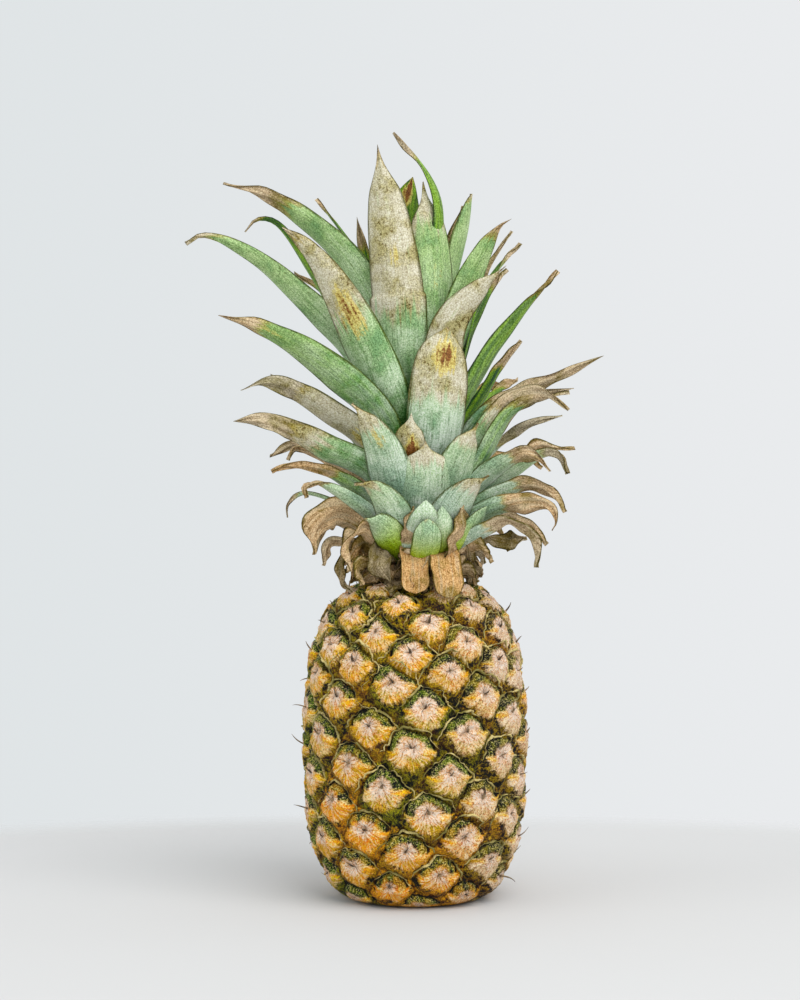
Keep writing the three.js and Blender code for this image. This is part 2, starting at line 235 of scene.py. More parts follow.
# The spiral: each eye stands 137.6 degrees on from the last and 1.5 mm higher, or 1.15 mm
# near the top, give or take a little, and is smaller towards both ends of the fruit.
luck = np.random.default_rng(7)
eye_number = np.arange(-58, 66)
eye_turn = -4 - 137.6 * eye_number
eye_height = np.where(eye_number <= 22, 80 + 1.5 * eye_number, 113 + 1.15 * (eye_number - 22))
eye_run = run_at_height(np.clip(eye_height, 14, 156))
eye_run += 1.0 * np.minimum(eye_height - 14, 0) + 0.9 * np.maximum(eye_height - 156, 0)
eye_turn = eye_turn + luck.normal(0, 1.2, len(eye_turn))
eye_run = eye_run + luck.normal(0, 0.7, len(eye_run))
eye_size = 1.02 - 0.2 * smooth(128, 156, eye_height) - 0.22 * smooth(26, 4, eye_height)
eye_size *= luck.uniform(0.94, 1.06, len(eye_size))
eye_luck = luck.uniform(0, 1, (len(eye_number), 4))

LEAST_RADIUS = 8    # nearer the axis, a turn counts as millimetres at this radius
EYE_DROP = 2.2      # how far below its centre the middle of an eye's own ground is, mm


def eye_field(turn, run):
    """For each place on the rind, the eye it belongs to and how it stands there: the number
    of that eye, the place across and up from its centre in millimetres of a full-size eye,
    the distance to the border with the next eye, and the radius of the outline.  A place
    belongs to the eye whose ground's middle is nearest, with the distances over the square
    root of each eye's size, and half the gap between the two least is the border's."""
    radius = np.interp(run, outline_run, outline[:, 0])
    around = turn_between(eye_turn[None], turn[:, None])
    a = np.radians(around) * np.maximum(radius, LEAST_RADIUS)[:, None]
    b = run[:, None] - eye_run[None]
    far = np.hypot(a, b + EYE_DROP) / eye_size[None] ** 0.5
    order = np.argpartition(far, 1, axis=1)[:, :2]
    near = np.take_along_axis(far, order, axis=1)
    owner = np.where(near[:, 0] < near[:, 1], order[:, 0], order[:, 1])
    border = np.abs(near[:, 1] - near[:, 0]) / 2
    rows = np.arange(len(turn))
    size = eye_size[owner]
    return owner, a[rows, owner] / size, b[rows, owner] / size, border, radius


def ruffle(places, wave, seed):
    """Smooth random waves through space: a sum of seven sines in random directions, their
    wavelengths near wave, from about -1.5 to 1.5."""
    luck = np.random.default_rng(seed)
    ways = luck.normal(size=(7, 3))
    ways *= (2 * math.pi / wave * luck.uniform(0.6, 1.5, 7) / np.linalg.norm(ways, axis=1))[:, None]
    return np.sin(places @ ways.T + luck.uniform(0, 6.3, 7)).sum(axis=1) / 2.2


def rind_places(turn, run):
    """Points on the bare outline, to look the random waves up at."""
    r = np.interp(run, outline_run, outline[:, 0])
    t = np.radians(turn)
    return np.stack([r * np.sin(t), -r * np.cos(t), np.interp(run, outline_run, outline[:, 1])
                     - 0.4 * r], axis=1)


def rind_warp(places):
    """How far, in millimetres, the regular pattern of the eyes is pushed about."""
    return (0.75 * ruffle(places, 16, 1) + 0.3 * ruffle(places, 5.5, 2),
            0.65 * ruffle(places, 15, 3) + 0.3 * ruffle(places, 5, 4))


EYE_SQUAT = 1.13     # how many times wider than tall an eye is
ARCH_REACH = 11.3    # from an eye's centre to the arch round its top, mm
MIDDLE_FORM = 3.3    # height over the deepest groove where the outline runs, mm


def rind_form(turn, run):
    """Height of the rind over its deepest groove, and the shares of its colours.  The top of
    an eye is a round cushion that drops to an arched groove; the lower half is a bract with
    a raised level margin that runs down to a point between the two eyes below."""
    owner, a, b, border, radius = eye_field(turn, run)
    places = rind_places(turn, run)
    push_a, push_b = rind_warp(places)
    a, b = a + push_a, b + push_b
    fine = ruffle(places, 3.2, 5)
    border = border + 0.45 * ruffle(places, 4.5, 6)
    wave = eye_luck[owner]
    angle = np.arctan2(b, a)
    reach = np.hypot(a, b * EYE_SQUAT)
    reach = reach * (1 + 0.05 * np.sin(3 * angle + 6 * wave[:, 0]) + 0.03 * np.sin(
        5 * angle + 6 * wave[:, 1]))
    arch = reach / ARCH_REACH
    upper = smooth(-2.0, 1.4, b)
    # the cushion above, the fan of the bract below, and the valley behind the cushion
    cushion = 1 - smooth(0.58, 1.0, arch) ** 1.3
    fan = smooth(-0.4, 4.6, border)
    form = 3.1 * (upper * cushion + (1 - upper) * fan)
    valley = upper * smooth(1.0, 1.15, arch) * smooth(-0.5, 2.2, border)
    form += 1.2 * valley
    # the groove along the arch, the level margin of the bract, and the dimple at the heart
    groove = upper * np.exp(-((arch - 0.96) / 0.055) ** 2)
    form -= 0.7 * groove
    margin = -0.2 + 0.35 * np.sin(a / 3.2 + 6 * wave[:, 2]) + 0.02 * a * (wave[:, 3] - 0.5) * 6
    form += 0.85 * (1 - smooth(margin - 0.6, margin + 0.5, b)) * np.exp(
        np.minimum(b, 0) / 6) * np.exp(-(a / 9.5) ** 4)
    form -= 0.9 * np.exp(-(a ** 2 + (b - 0.9) ** 2) / 3.2)
    form += 0.22 * fine
    # where the colours lie: cream heart, ripe corners, mossy crescent, painted shade and fan
    lean = (np.abs(a) / 13.2) ** 1.5 + (np.maximum(-b, 0) / 10.4) ** 1.1
    cream = (upper * (1 - smooth(0.32, 0.76, arch)) + (1 - upper) * smooth(-0.6, 1.8, border)
             * (1 - smooth(0.6, 1.34, lean)))
    lens = np.maximum(1 - (np.abs(a) / 13.5) ** 1.6, 0.02)
    wing = np.exp(-((b + 0.3) / (3.4 * lens)) ** 2) * smooth(2.5, 6.5, np.abs(a))
    moss = upper * smooth(0.46, 0.82, arch) * (1 - smooth(0.94, 1.03, arch))
    # painted shade: a dark band round each eye's arch where the rim stands, and darkening in the
    # grooves between the eyes
    rim_shade_band = upper * np.exp(-((arch - 0.97) / 0.1) ** 2)
    crevice_shade = np.maximum(0.6 * np.exp(-np.maximum(border, 0) / 0.9), rim_shade_band)
    fan = (np.abs(a) / 11.5) ** 2.4 + (np.maximum(-b, 0) / 9.5) ** 1.3
    fan = (1 - upper) * np.clip(fan, 0, 1.2)
    return owner, radius, form, {"cream": cream, "wing": wing, "moss": moss,
                                 "valley": valley, "crevice_shade": crevice_shade, "fan": fan}


def on_rind(turn, run, lift):
    """Points standing lift millimetres off the outline, along its outward direction."""
    r = np.interp(run, outline_run, outline[:, 0])
    z = np.interp(run, outline_run, outline[:, 1])
    out_r = np.interp(run, outline_run, along_outline[:, 1])
    out_z = -np.interp(run, outline_run, along_outline[:, 0])
    r = r + lift * out_r
    t = np.radians(turn)
    return np.stack([r * np.sin(t), -r * np.cos(t), np.maximum(z + lift * out_z, 0)], axis=1)


# Places where the skin is riper: turn, height, how wide and how strong.
RIPE_SPOTS = [[-14, 8, 17, 1.0], [8, 10, 16, 1.0], [-30, 34, 15, 1.0], [-48, 54, 13, 0.9],
              [-28, 20, 14, 0.7], [2, 32, 12, 0.8], [26, 40, 11, 0.7], [-8, 142, 16, 0.4],
              [24, 124, 9, 0.8], [-36, 130, 16, 0.55], [-4, 126, 14, 0.4], [30, 12, 14, 0.7],
              [-46, 100, 14, 0.4], [150, 20, 30, 0.8], [-140, 40, 22, 0.7], [110, 60, 16, 0.4]]

COLUMNS, FOOT_ROWS, SIDE_ROWS, TOP_ROWS = 430, 12, 211, 8
side_low, side_high = run_at_height(14) - 34, outline_run[-1] - 24
row_run = np.concatenate([np.linspace(0, side_low, FOOT_ROWS)[:-1],
                          np.linspace(side_low, side_high, SIDE_ROWS),
                          np.linspace(side_high, outline_run[-1], TOP_ROWS)[1:]])
row_run = row_run[1:-1]
turn_grid, run_grid = np.meshgrid(np.arange(COLUMNS) * 360 / COLUMNS, row_run)
turns, runs = turn_grid.ravel(), run_grid.ravel()
owner, radius, form, shares = rind_form(turns, runs)
# the relief dies away into the flat foot and under the neck
flat_part = smooth(run_at_height(14) - 20, run_at_height(14) - 4, runs)
neck_part = 1 - smooth(outline_run[-1] - 26, outline_run[-1] - 14, runs)
lift = (form - MIDDLE_FORM) * flat_part * neck_part
points = on_rind(turns, runs, lift)
poles = np.array([[0, 0, outline[0, 1]], [0, 0, outline[-1, 1]]])
points = np.vstack([points, poles])
corner = grid_faces(len(row_run), COLUMNS)
faces = corner.tolist() + end_caps(len(row_run), COLUMNS).tolist()

eye_warm = np.zeros(len(eye_number))
for spot_turn, spot_height, wide, strong in RIPE_SPOTS:
    off = np.hypot(turn_between(spot_turn, eye_turn) * 0.95, eye_height - spot_height)
    eye_warm = np.maximum(eye_warm, strong * np.exp(-(off / wide) ** 2))
eye_warm = np.clip(eye_warm + 0.4 * eye_luck[:, 0] ** 2, 0, 1)
eye_grey = np.exp(-(turn_between(66, eye_turn) / 40) ** 2)
eye_grey = np.clip(eye_grey * (0.75 + 0.4 * eye_luck[:, 1]), 0, 1)


def per_point(values):
    """Values for a grid's points, with those of the points that close its two ends."""
    return np.concatenate([values, [values[0], values[-1]]])


attributes = {key: per_point(value) for key, value in shares.items()}
attributes["warm"] = per_point(eye_warm[owner])
attributes["grey"] = per_point(eye_grey[owner])
attributes["own"] = per_point(eye_luck[owner, 3])
# the UV of a place is how far it lies across and up from its eye's centre, 10 mm to a unit
face_owner = owner[corner[:, 0]]
size = eye_size[face_owner][:, None]
corner_a = np.radians(turn_between(eye_turn[face_owner][:, None], turns[corner]))
push_a, push_b = rind_warp(rind_places(turns, runs))
corner_radius = np.maximum(radius[corner], LEAST_RADIUS)
corner_uv = np.stack([corner_a * corner_radius / size + push_a[corner],
                      (runs[corner] - eye_run[face_owner][:, None]) / size + push_b[corner]],
                     axis=-1) / 10
corner_uv = np.vstack([corner_uv.reshape(-1, 2), np.zeros((2 * COLUMNS * 3, 2))])


def cover(tree, most, *patterns):
    """How fully a paint covers each place: most, times every pattern.  A pattern is a share
    from 0 to 1, or (value, low, high, noises), which eases from 0 to 1 as the value goes
    from low to high.  A noise is (noise, amount), and moves the value by the amount times
    how far the noise is from a half."""
    for pattern in patterns:
        if isinstance(pattern, tuple):
            value, low, high, *noises = pattern
            for noise, amount in noises:
                value = node(tree, "Math", [noise, amount, value], operation="MULTIPLY_ADD")
                low, high = low + amount / 2, high + amount / 2
            most = node(tree, "MapRange", [value, low, high, 0, most],
                        interpolation_type="SMOOTHSTEP")
        else:
            most = node(tree, "Math", [pattern, most], operation="MULTIPLY")
    return most


def paint_over(tree, colour, *layers):
    """Lays paints over a colour, one after another.  A layer is its paint, how fully it
    covers at most, and the patterns that say where."""
    for paint, most, *patterns in layers:
        share = cover(tree, most, *patterns)
        colour = node(tree, "Mix", [share, colour, paint], data_type="RGBA")
    return colour


# Pineapple rind is waxy skin with dry corky bits: half matt, uneven in its gloss, and rough
# where light rakes it.  Fibres 1 mm wide and 8 mm long run out from the heart of each eye.
# Blotches are 5 mm across, patches 21 mm, specks 1.3 mm, and grains 0.8 mm.
skin, tree = new_material("pineapple_rind")
place = node(tree, "TexCoord", out="Object")
cream, wing, moss, valley, crevice_shade, fan, warm, grey, own = (
    node(tree, "Attribute", out="Fac", attribute_name=key)
    for key in ("cream", "wing", "moss", "valley", "crevice_shade", "fan", "warm", "grey", "own"))
eye_uv = node(tree, "UVMap", uv_map="grain")
eye_up = node(tree, "VectorMath", [eye_uv, (0, -0.12, 0)], operation="ADD")
eye_x, eye_y = (node(tree, "SeparateXYZ", [eye_up], out=way) for way in "XY")
angle = node(tree, "Math", [eye_y, eye_x], operation="ARCTAN2")
reach = node(tree, "VectorMath", [eye_up], operation="LENGTH")
# turn and distance from the heart, so that the fibres run outwards, unlike in every eye
spread = node(tree, "Math", [angle, 7.0], operation="MULTIPLY")
eye_seed = node(tree, "Math", [own, 60.0], operation="MULTIPLY")
polar = node(tree, "CombineXYZ", [spread, reach, eye_seed])
ray = node(tree, "TexNoise", [polar, 1.2, 5.0, 0.65])
broad = node(tree, "TexNoise", [place, 190.0, 6.0, 0.65])
patch = node(tree, "TexNoise", [place, 48.0, 2.0])
fine = node(tree, "TexNoise", [place, 760.0, 4.0, 0.7])
grain = node(tree, "TexNoise", [place, 1300.0, 3.0, 0.7])
mottle = (fine, 0.8)
# mossy ground: dark olive, with brighter green, brown and ripe orange in patches
ground = paint_over(
    tree, "#181E04",
    ("#7C8018", 1, (broad, 0.38, 0.62, mottle)),
    ("#6B4F20", 0.5, (patch, 0.48, 0.6)),
    (paint_over(tree, "#2A1E0E", ("#94774A", 1, (broad, 0.4, 0.6, mottle))), 0.85, grey),
    (paint_over(tree, "#B8A62C", ("#A88E60", 1, grey)), 0.7, valley,
     (broad, 0.36, 0.56, mottle)),
    ("#DE951F", 0.8, warm, (broad, 0.38, 0.56)))
# dark crescent round the top of each eye, full of corky grains
crescent = paint_over(
    tree, "#101802",
    ("#6C861A", 1, (broad, 0.36, 0.6, mottle)),
    (paint_over(tree, "#221A0E", ("#75644A", 1, (broad, 0.4, 0.6))), 0.75, grey),
    ("#C88A20", 0.8, warm, (broad, 0.46, 0.6)),
    ("#C2B68C", 0.75, (grain, 0.54, 0.6)))
# the fan of the bract: fibres from cream at the heart to yellow-green and orange outside
pale = paint_over(
    tree, "#CFA078",
    ("#FFE9D6", 1, (ray, 0.34, 0.56)),
    ("#DDA970", 0.5, (broad, 0.5, 0.66)),
    ("#9A704C", 0.5, (grain, 0.56, 0.64)))
outside = paint_over(
    tree, "#E4B670",
    ("#AC9A30", 1, (broad, 0.4, 0.6)),
    ("#F6A024", 0.9, warm),
    ("#C4AA8C", 0.8, grey),
    ("#FAE2BC", 0.7, (ray, 0.46, 0.58)),
    ("#7C6428", 0.6, (grain, 0.56, 0.64)))
far_out = node(tree, "Math", [cover(tree, 1, (fan, 0.1, 0.68, (broad, 0.8), (fine, 0.6))),
                              cover(tree, 1, warm, (reach, 0.15, 0.7, (broad, 1.2)))],
               operation="ADD")
far_out = node(tree, "Math", [far_out, 0.95], operation="MINIMUM")
heart = paint_over(tree, pale, (outside, 1, far_out), ("#E0CDBE", 0.45, grey))
# ripe yellow corners where the bract's margin meets the neighbours
ripe = paint_over(
    tree, "#F3CC94",
    (paint_over(tree, "#F0BC34", ("#FA9A0C", 1, warm)), 1, (fan, 0.05, 0.4)),
    ("#C2A678", 0.6, grey),
    ("#F6DEB0", 0.6, (ray, 0.48, 0.58)))
# three fine slits between the sepals, at the middle of the eye, turned a little in each
slit = node(tree, "Math", [own, 1.6, angle], operation="MULTIPLY_ADD")
slit = node(tree, "Math", [slit, 1.5, -1.5 * (0.8 + math.pi / 2)], operation="MULTIPLY_ADD")
for step in ("SINE", "ABSOLUTE"):
    slit = node(tree, "Math", [slit], operation=step)
slit = node(tree, "Math", [slit, reach], operation="MULTIPLY")
# all of them over the ground, then painted shade in the grooves between the eyes and by the rims,
# and corky dirt
colour = paint_over(
    tree, ground,
    (crescent, 0.92, (moss, 0.1, 0.7, (fine, 1.0), (broad, 0.6))),
    (heart, 1, (cream, 0.14, 0.84, (ray, 0.9), (fine, 1.1), (broad, 0.6))),
    (ripe, 0.9, (wing, 0.3, 0.95, (ray, 0.9), (fine, 1.0), (broad, 0.6))),
    ("#4F3420", 0.55, (slit, 0.06, 0, (fine, 0.16)), (reach, 0.38, 0.16)),
    # painted shade: dark olive in the grooves between the eyes and in a band round each rim
    ("#1B1C08", 0.9, (crevice_shade, 0.3, 0.85, (broad, 0.5))),
    ("#3E2C18", 0.6, (fine, 0.57, 0.66)))
shade = paint_over(tree, "#6A6A6A", ("#EAEAEA", 1, (grain, 0.38, 0.62)))
colour = node(tree, "Mix", [0.75, colour, shade], data_type="RGBA", blend_type="OVERLAY")
colour = node(tree, "BrightContrast", {"Color": colour, "Contrast": 0.08})
colour = node(tree, "HueSaturation", {"Color": colour, "Saturation": 1.16, "Value": 1.02})
rough = node(tree, "MapRange", [broad, 0, 1, 0.5, 0.75])
relief = node(tree, "Math", [broad, 0.8, ray], operation="MULTIPLY_ADD")
relief = node(tree, "Math", [fine, 0.6, relief], operation="MULTIPLY_ADD")
bump = node(tree, "Bump", {"Height": relief, "Distance": 0.0012, "Strength": 1.0})
shader = node(tree, "BsdfPrincipled", {"Base Color": colour, "Roughness": rough,
                                       "Normal": bump, "Specular IOR Level": 0.25})
node(tree, "OutputMaterial", [shader])

rind = mesh_object("fruit_rind", points, faces, skin, attributes, corner_uv)
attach(rind, "root")
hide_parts("fruit")

# ----------------------------------------
# The dry rims of the bracts: along the top arch of every eye stands the thin papery edge
# of the bract above, straw yellow, wavy and a millimetre high, grown fast to the skin.
# ----------------------------------------


def tubes(centres, across, upward, half_wide, half_high, sides):
    """Closed tubes along many paths at once: centres is paths by rows by 3, and each ring
    is an ellipse with half_wide along across and half_high along upward.  The ends close
    on a point.  Returns the points and faces of all the paths."""
    paths, rows = centres.shape[:2]
    turn = np.linspace(0, 2 * math.pi, sides, endpoint=False)
    rings = (centres[:, :, None] + across[:, :, None] * (half_wide[..., None, None]
             * np.cos(turn)[None, None, :, None]) + upward[:, :, None]
             * (half_high[..., None, None] * np.sin(turn)[None, None, :, None]))
    points = np.concatenate([rings.reshape(paths, -1, 3), centres[:, :1], centres[:, -1:]], 1)
    body = grid_faces(rows, sides)
    ends = end_caps(rows, sides)
    each = points.shape[1]
    faces = []
    for path in range(paths):
        faces += (body + path * each).tolist() + (ends + path * each).tolist()
    return points.reshape(-1, 3), faces


# Dry bract edge: sun-bleached plant skin, papery and without gloss, straw yellow with olive
# patches 11 mm across and brown specks of 1.1 mm.
straw, tree = new_material("dry_bract_rim")
place = node(tree, "TexCoord", out="Object")
patch = node(tree, "TexNoise", [place, 90.0, 4.0])
fine = node(tree, "TexNoise", [place, 900.0, 3.0])
tone = paint_over(tree, "#D2C07C", ("#7E7634", 1, (patch, 0.38, 0.62)),
                  ("#7A5C30", 1, (fine, 0.52, 0.68)))
bump = node(tree, "Bump", {"Height": fine, "Distance": 0.0004})
shader = node(tree, "BsdfPrincipled", {"Base Color": tone, "Roughness": 0.75, "Normal": bump})
node(tree, "OutputMaterial", [shader])

# each rim sweeps over the top of its eye, as wavy as the eye's edge, and flares at its ends
eyes = np.flatnonzero((eye_height > 6) & (eye_height < 156))
sweep = np.linspace(0, 1, 44)
luck = np.random.default_rng(11)
from_angle = luck.uniform(-24, -4, len(eyes))[:, None]
to_angle = luck.uniform(184, 204, len(eyes))[:, None]
angle = np.radians(from_angle + (to_angle - from_angle) * sweep[None])
wave = eye_luck[eyes]
wobble = 1 + 0.05 * np.sin(3 * angle + 6 * wave[:, :1]) + 0.035 * np.sin(
    5 * angle + 6 * wave[:, 1:2])
ripple = luck.uniform(0, 6.3, (len(eyes), 3))
rough_edge = (0.30 * np.sin(11 * angle + ripple[:, :1]) + 0.22 * np.sin(
    19 * angle + ripple[:, 1:2]) + 0.12 * np.sin(31 * angle + ripple[:, 2:]))
flare = 1 + 0.42 * (smooth(24, -26, np.degrees(angle)) + smooth(156, 206, np.degrees(angle)))
reach = ((ARCH_REACH + 0.15) / wobble + rough_edge) * flare * eye_size[eyes][:, None]
arch_a = reach * np.cos(angle)
arch_b = reach * np.sin(angle) / EYE_SQUAT
# from millimetres across and up on the eye to turn and run on the rind
rim_run = eye_run[eyes][:, None] + arch_b
here_radius = np.maximum(np.interp(rim_run, outline_run, outline[:, 0]), LEAST_RADIUS)
rim_turn = eye_turn[eyes][:, None] + np.degrees(arch_a / here_radius)
push_a, push_b = rind_warp(rind_places(rim_turn.ravel(), rim_run.ravel()))
size = eye_size[eyes][:, None]
rim_turn = rim_turn - np.degrees(push_a.reshape(rim_turn.shape) * size / here_radius)
rim_run = rim_run - push_b.reshape(rim_run.shape) * size
flat_rim_turn, flat_rim_run = rim_turn.ravel(), rim_run.ravel()
# it stands on the relief there, thin at both ends, and is worn to a thread in places
rim_form = rind_form(flat_rim_turn, flat_rim_run)[2]
taper = np.sin(np.pi * sweep) ** 0.35
rim_lift = (rim_form - MIDDLE_FORM).reshape(rim_turn.shape) + 0.35 * taper[None]
rim_lift += 0.25 * np.sin(9 * angle + ripple[:, 1:2])
rim_points = on_rind(flat_rim_turn, flat_rim_run, rim_lift.ravel()).reshape(*rim_turn.shape, 3)
rim_above = on_rind(flat_rim_turn, flat_rim_run, rim_lift.ravel() + 1).reshape(rim_points.shape)
rim_out = rim_above - rim_points
rim_side = unit(np.cross(rim_out, unit(np.gradient(rim_points, axis=1))))
broken = ruffle(rim_points.reshape(-1, 3), 9, 8).reshape(rim_turn.shape)
thick = 0.42 * taper[None] * np.clip(0.8 + 0.65 * broken, 0.12, 1.6)
rim_mesh, rim_faces = tubes(rim_points, rim_side, rim_out, thick, thick * 1.9 + 0.1, 6)
rims = mesh_object("bract_rims", rim_mesh, rim_faces, straw)
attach(rims, "root")

# ----------------------------------------
# The dried tips of the bracts: a small brown curved spine, two to seven millimetres long,
# left standing at the middle of every eye, with a few longer wispy ones.
# ----------------------------------------

# Dry husk: withered to a hard brown thorn, darker and lighter every 4 mm, and dull.
husk, tree = new_material("dry_brown_husk")
place = node(tree, "TexCoord", out="Object")
patch = node(tree, "TexNoise", [place, 240.0, 3.0])
tone = paint_over(tree, "#4A3826", ("#8C7656", 1, (patch, 0.4, 0.6)))
bump = node(tree, "Bump", {"Height": patch, "Distance": 0.0005})
shader = node(tree, "BsdfPrincipled", {"Base Color": tone, "Roughness": 0.8, "Normal": bump})
node(tree, "OutputMaterial", [shader])

luck = np.random.default_rng(23)
eyes = np.flatnonzero((eye_height > 3) & (eye_height < 158))
spine_long = luck.uniform(2.6, 6.2, len(eyes)) * np.where(luck.random(len(eyes)) < 0.2, 1.7, 1)
sweep = np.linspace(0, 1, 9)
# the longest wisps: turn, height on the fruit and length
for wisp_turn, wisp_height, wisp_long in (
        (-88, 97, 15), (-84, 77, 13), (-92, 45, 14), (-80, 122, 9), (-70, 134, 8),
        (86, 136, 9), (88, 112, 8), (92, 92, 8), (78, 38, 10), (64, 20, 20), (58, 14, 19),
        (150, 90, 12), (-150, 60, 13), (130, 40, 11), (-130, 110, 10)):
    off = np.hypot(turn_between(wisp_turn, eye_turn[eyes]), eye_height[eyes] - wisp_height)
    spine_long[np.argmin(off)] = 0.66 * wisp_long
# a spine starts in its eye's heart, goes outwards, and bends up or down and to one side
base = on_rind(eye_turn[eyes], eye_run[eyes] + 0.4, np.full(len(eyes), -1.2))
out_way = on_rind(eye_turn[eyes], eye_run[eyes] + 0.4, np.full(len(eyes), -0.2)) - base
round_way = np.stack([np.cos(np.radians(eye_turn[eyes])), np.sin(np.radians(eye_turn[eyes])),
                      np.zeros(len(eyes))], axis=1)
up_way = np.cross(round_way, -out_way)
up_way *= np.sign(up_way[:, 2:]) + (up_way[:, 2:] == 0)
lean = luck.uniform(-0.7, 0.7, len(eyes))[:, None, None]
rise = luck.uniform(0.1, 0.9, len(eyes))[:, None, None]
curl = luck.uniform(-0.4, 0.5, len(eyes))[:, None, None]
t = sweep[None, :, None]
spine = (base[:, None] + spine_long[:, None, None] * (
    out_way[:, None] * (t - 0.25 * t ** 2) + up_way[:, None] * (rise * t + curl * t ** 2)
    + round_way[:, None] * lean * t ** 2))
spine[..., 2] = np.maximum(spine[..., 2], 0.4)
spine_along = unit(np.gradient(spine, axis=1))
spine_side = unit(np.cross(up_way[:, None], spine_along))
spine_up = np.cross(spine_along, spine_side)
# about half its thickness, down to 0.1 mm at the point
stout = luck.uniform(0.5, 0.85, len(eyes))[:, None]
stout = np.maximum(0.1, (1 - sweep[None]) ** 0.7 * stout)
spine_mesh, spine_faces = tubes(spine, spine_side, spine_up, stout * 1.3, stout * 0.7, 6)
spines = mesh_object("bract_spines", spine_mesh, spine_faces, husk)
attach(spines, "root")

# ----------------------------------------
# The cut stalk: the woody end of the stalk the fruit was cut from, tan and fibrous, set in
# the hollow foot of the fruit.
# ----------------------------------------

# Cut stalk: dry end grain, dull and pitted, with bundles of fibres 1.1 mm apart and stains
# 7 mm across.
wood, tree = new_material("cut_stalk_wood")
place = node(tree, "TexCoord", out="Object")
fibre = node(tree, "TexVoronoi", [place, 900.0])
patch = node(tree, "TexNoise", [place, 140.0, 4.0])
tone = paint_over(tree, "#B79A6A", ("#7E6238", 1, (patch, 0.35, 0.65)))
tone = paint_over(tree, "#6A4E2C", (tone, 1, (fibre, 0.1, 0.5)))
bump = node(tree, "Bump", {"Height": fibre, "Distance": 0.0006})
shader = node(tree, "BsdfPrincipled", {"Base Color": tone, "Roughness": 0.85, "Normal": bump})
node(tree, "OutputMaterial", [shader])
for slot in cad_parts["cut_stalk"].material_slots:
    slot.material = wood

# ----------------------------------------
# The crown's stem: the pale green-white stem inside the rosette, hidden by the leaves that
# clasp it, with the faint rings where their feet were attached.
# ----------------------------------------

# Pith of the stem: firm, moist-looking and pale, with leaf scars ringing it every 3.5 mm.
pith, tree = new_material("crown_stem_pith")
place = node(tree, "TexCoord", out="Object")
ringed = node(tree, "TexWave", [place, 90.0, 3.0], out="Fac", bands_direction="Z")
tone = node(tree, "Mix", [ringed, "#B9B583", "#8E8C4E"], data_type="RGBA")
bump = node(tree, "Bump", {"Height": ringed, "Distance": 0.0006})
shader = node(tree, "BsdfPrincipled", {"Base Color": tone, "Roughness": 0.7, "Normal": bump})
node(tree, "OutputMaterial", [shader])
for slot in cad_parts["crown_stem"].material_slots:
    slot.material = pith

# ----------------------------------------
# The leaves of the crown: stiff tapering channels that clasp the stem at their feet, pale
# with a waxy bloom outside and greener inside, drying from the tip down to cream, grey and
# brown as the crown ages.
# ----------------------------------------

# Pineapple leaf: a stiff fibrous blade under a grey-green waxy bloom, so it shines softly
# while it is green and not at all where it is dry.  Its bands are 2 mm wide and 29 mm long,
# the bloom is worn in patches of 13 mm, specks are 1.5 mm and grit 0.7 mm.  The fibres are
# drawn 0.6 mm wide and 18 mm long: the real ones, 0.2 mm wide, are too fine to show.
blade, tree = new_material("pineapple_leaf")
place = node(tree, "TexCoord", out="Object")
along, across, outer, dry, cream, green, hue, lime, own, burnt = (
    node(tree, "Attribute", out="Fac", attribute_name=key)
    for key in ("along", "across", "outer", "dry", "cream", "green", "hue", "lime", "own",
                "burnt"))
leaf_uv = node(tree, "UVMap", uv_map="grain")
drawn = node(tree, "VectorMath", [leaf_uv, (17.0, 0.55, 1.0)], operation="MULTIPLY")
fibre = node(tree, "TexNoise", [drawn, 1.0, 4.0, 0.6])
drawn = node(tree, "VectorMath", [leaf_uv, (5.0, 0.35, 1.0)], operation="MULTIPLY")
band = node(tree, "TexNoise", [drawn, 1.0, 3.0])
bloom = node(tree, "TexNoise", [place, 75.0, 6.0, 0.6])
speck = node(tree, "TexNoise", [place, 650.0, 3.0, 0.7])
grit = node(tree, "TexNoise", [place, 1500.0, 2.0, 0.6])
inner = node(tree, "Math", [1, outer], operation="SUBTRACT")
# grassy green: inside the channel, and on the leaves that have lost their bloom
lush = paint_over(tree, "#1F470E", ("#7FA238", 1, (band, 0.35, 0.62)))
lush_at = node(tree, "Math", [cover(tree, 0.75, inner), cover(tree, 0.9, green)],
               operation="MAXIMUM")
# the lowest leaves are whiter with bloom
whitish = node(tree, "Math", [own, -1.1, 0.62], operation="MULTIPLY_ADD")
# the pale, half-dried skin
half_dried = paint_over(
    tree, "#D2CBB8",
    ("#B0A67E", 1, (bloom, 0.4, 0.62)),
    ("#A89C80", 0.4, (fibre, 0.45, 0.62)),
    ("#66503A", 0.85, (speck, 0.52, 0.62), (bloom, 0.47, 0.6)))
# sun scorch, ragged at its rim
ragged = node(tree, "Math", [band, 1.6, speck], operation="MULTIPLY_ADD")
ragged = node(tree, "Math", [ragged, 1.3], operation="SUBTRACT")
burn = node(tree, "Math", [burnt, cover(tree, ragged, (burnt, 0.02, 0.4))], operation="ADD")
# the dry end, grey-brown or orange-brown by the leaf's hue, dark inside where it is grey
dry_at = cover(tree, 1, (dry, 0.3, 0.7, (band, 0.9)))
not_dry = node(tree, "Math", [1, dry_at], operation="SUBTRACT")
greyness = node(tree, "Math", [1, hue], operation="SUBTRACT")
brown = paint_over(
    tree, "#C0B7A2",
    ("#CFAC84", 1, hue),
    (paint_over(tree, "#62543E", ("#8E6840", 1, hue)), 0.5, (fibre, 0.44, 0.64)),
    ("#4A3A28", 0.4, (speck, 0.54, 0.64)),
    ("#6A6436", 0.6, (bloom, 0.46, 0.64)),
    ("#BFB59E", 0.35, (band, 0.5, 0.62)),
    ("#57482E", 0.45, inner, greyness))
side_share = node(tree, "Math", [across], operation="ABSOLUTE")
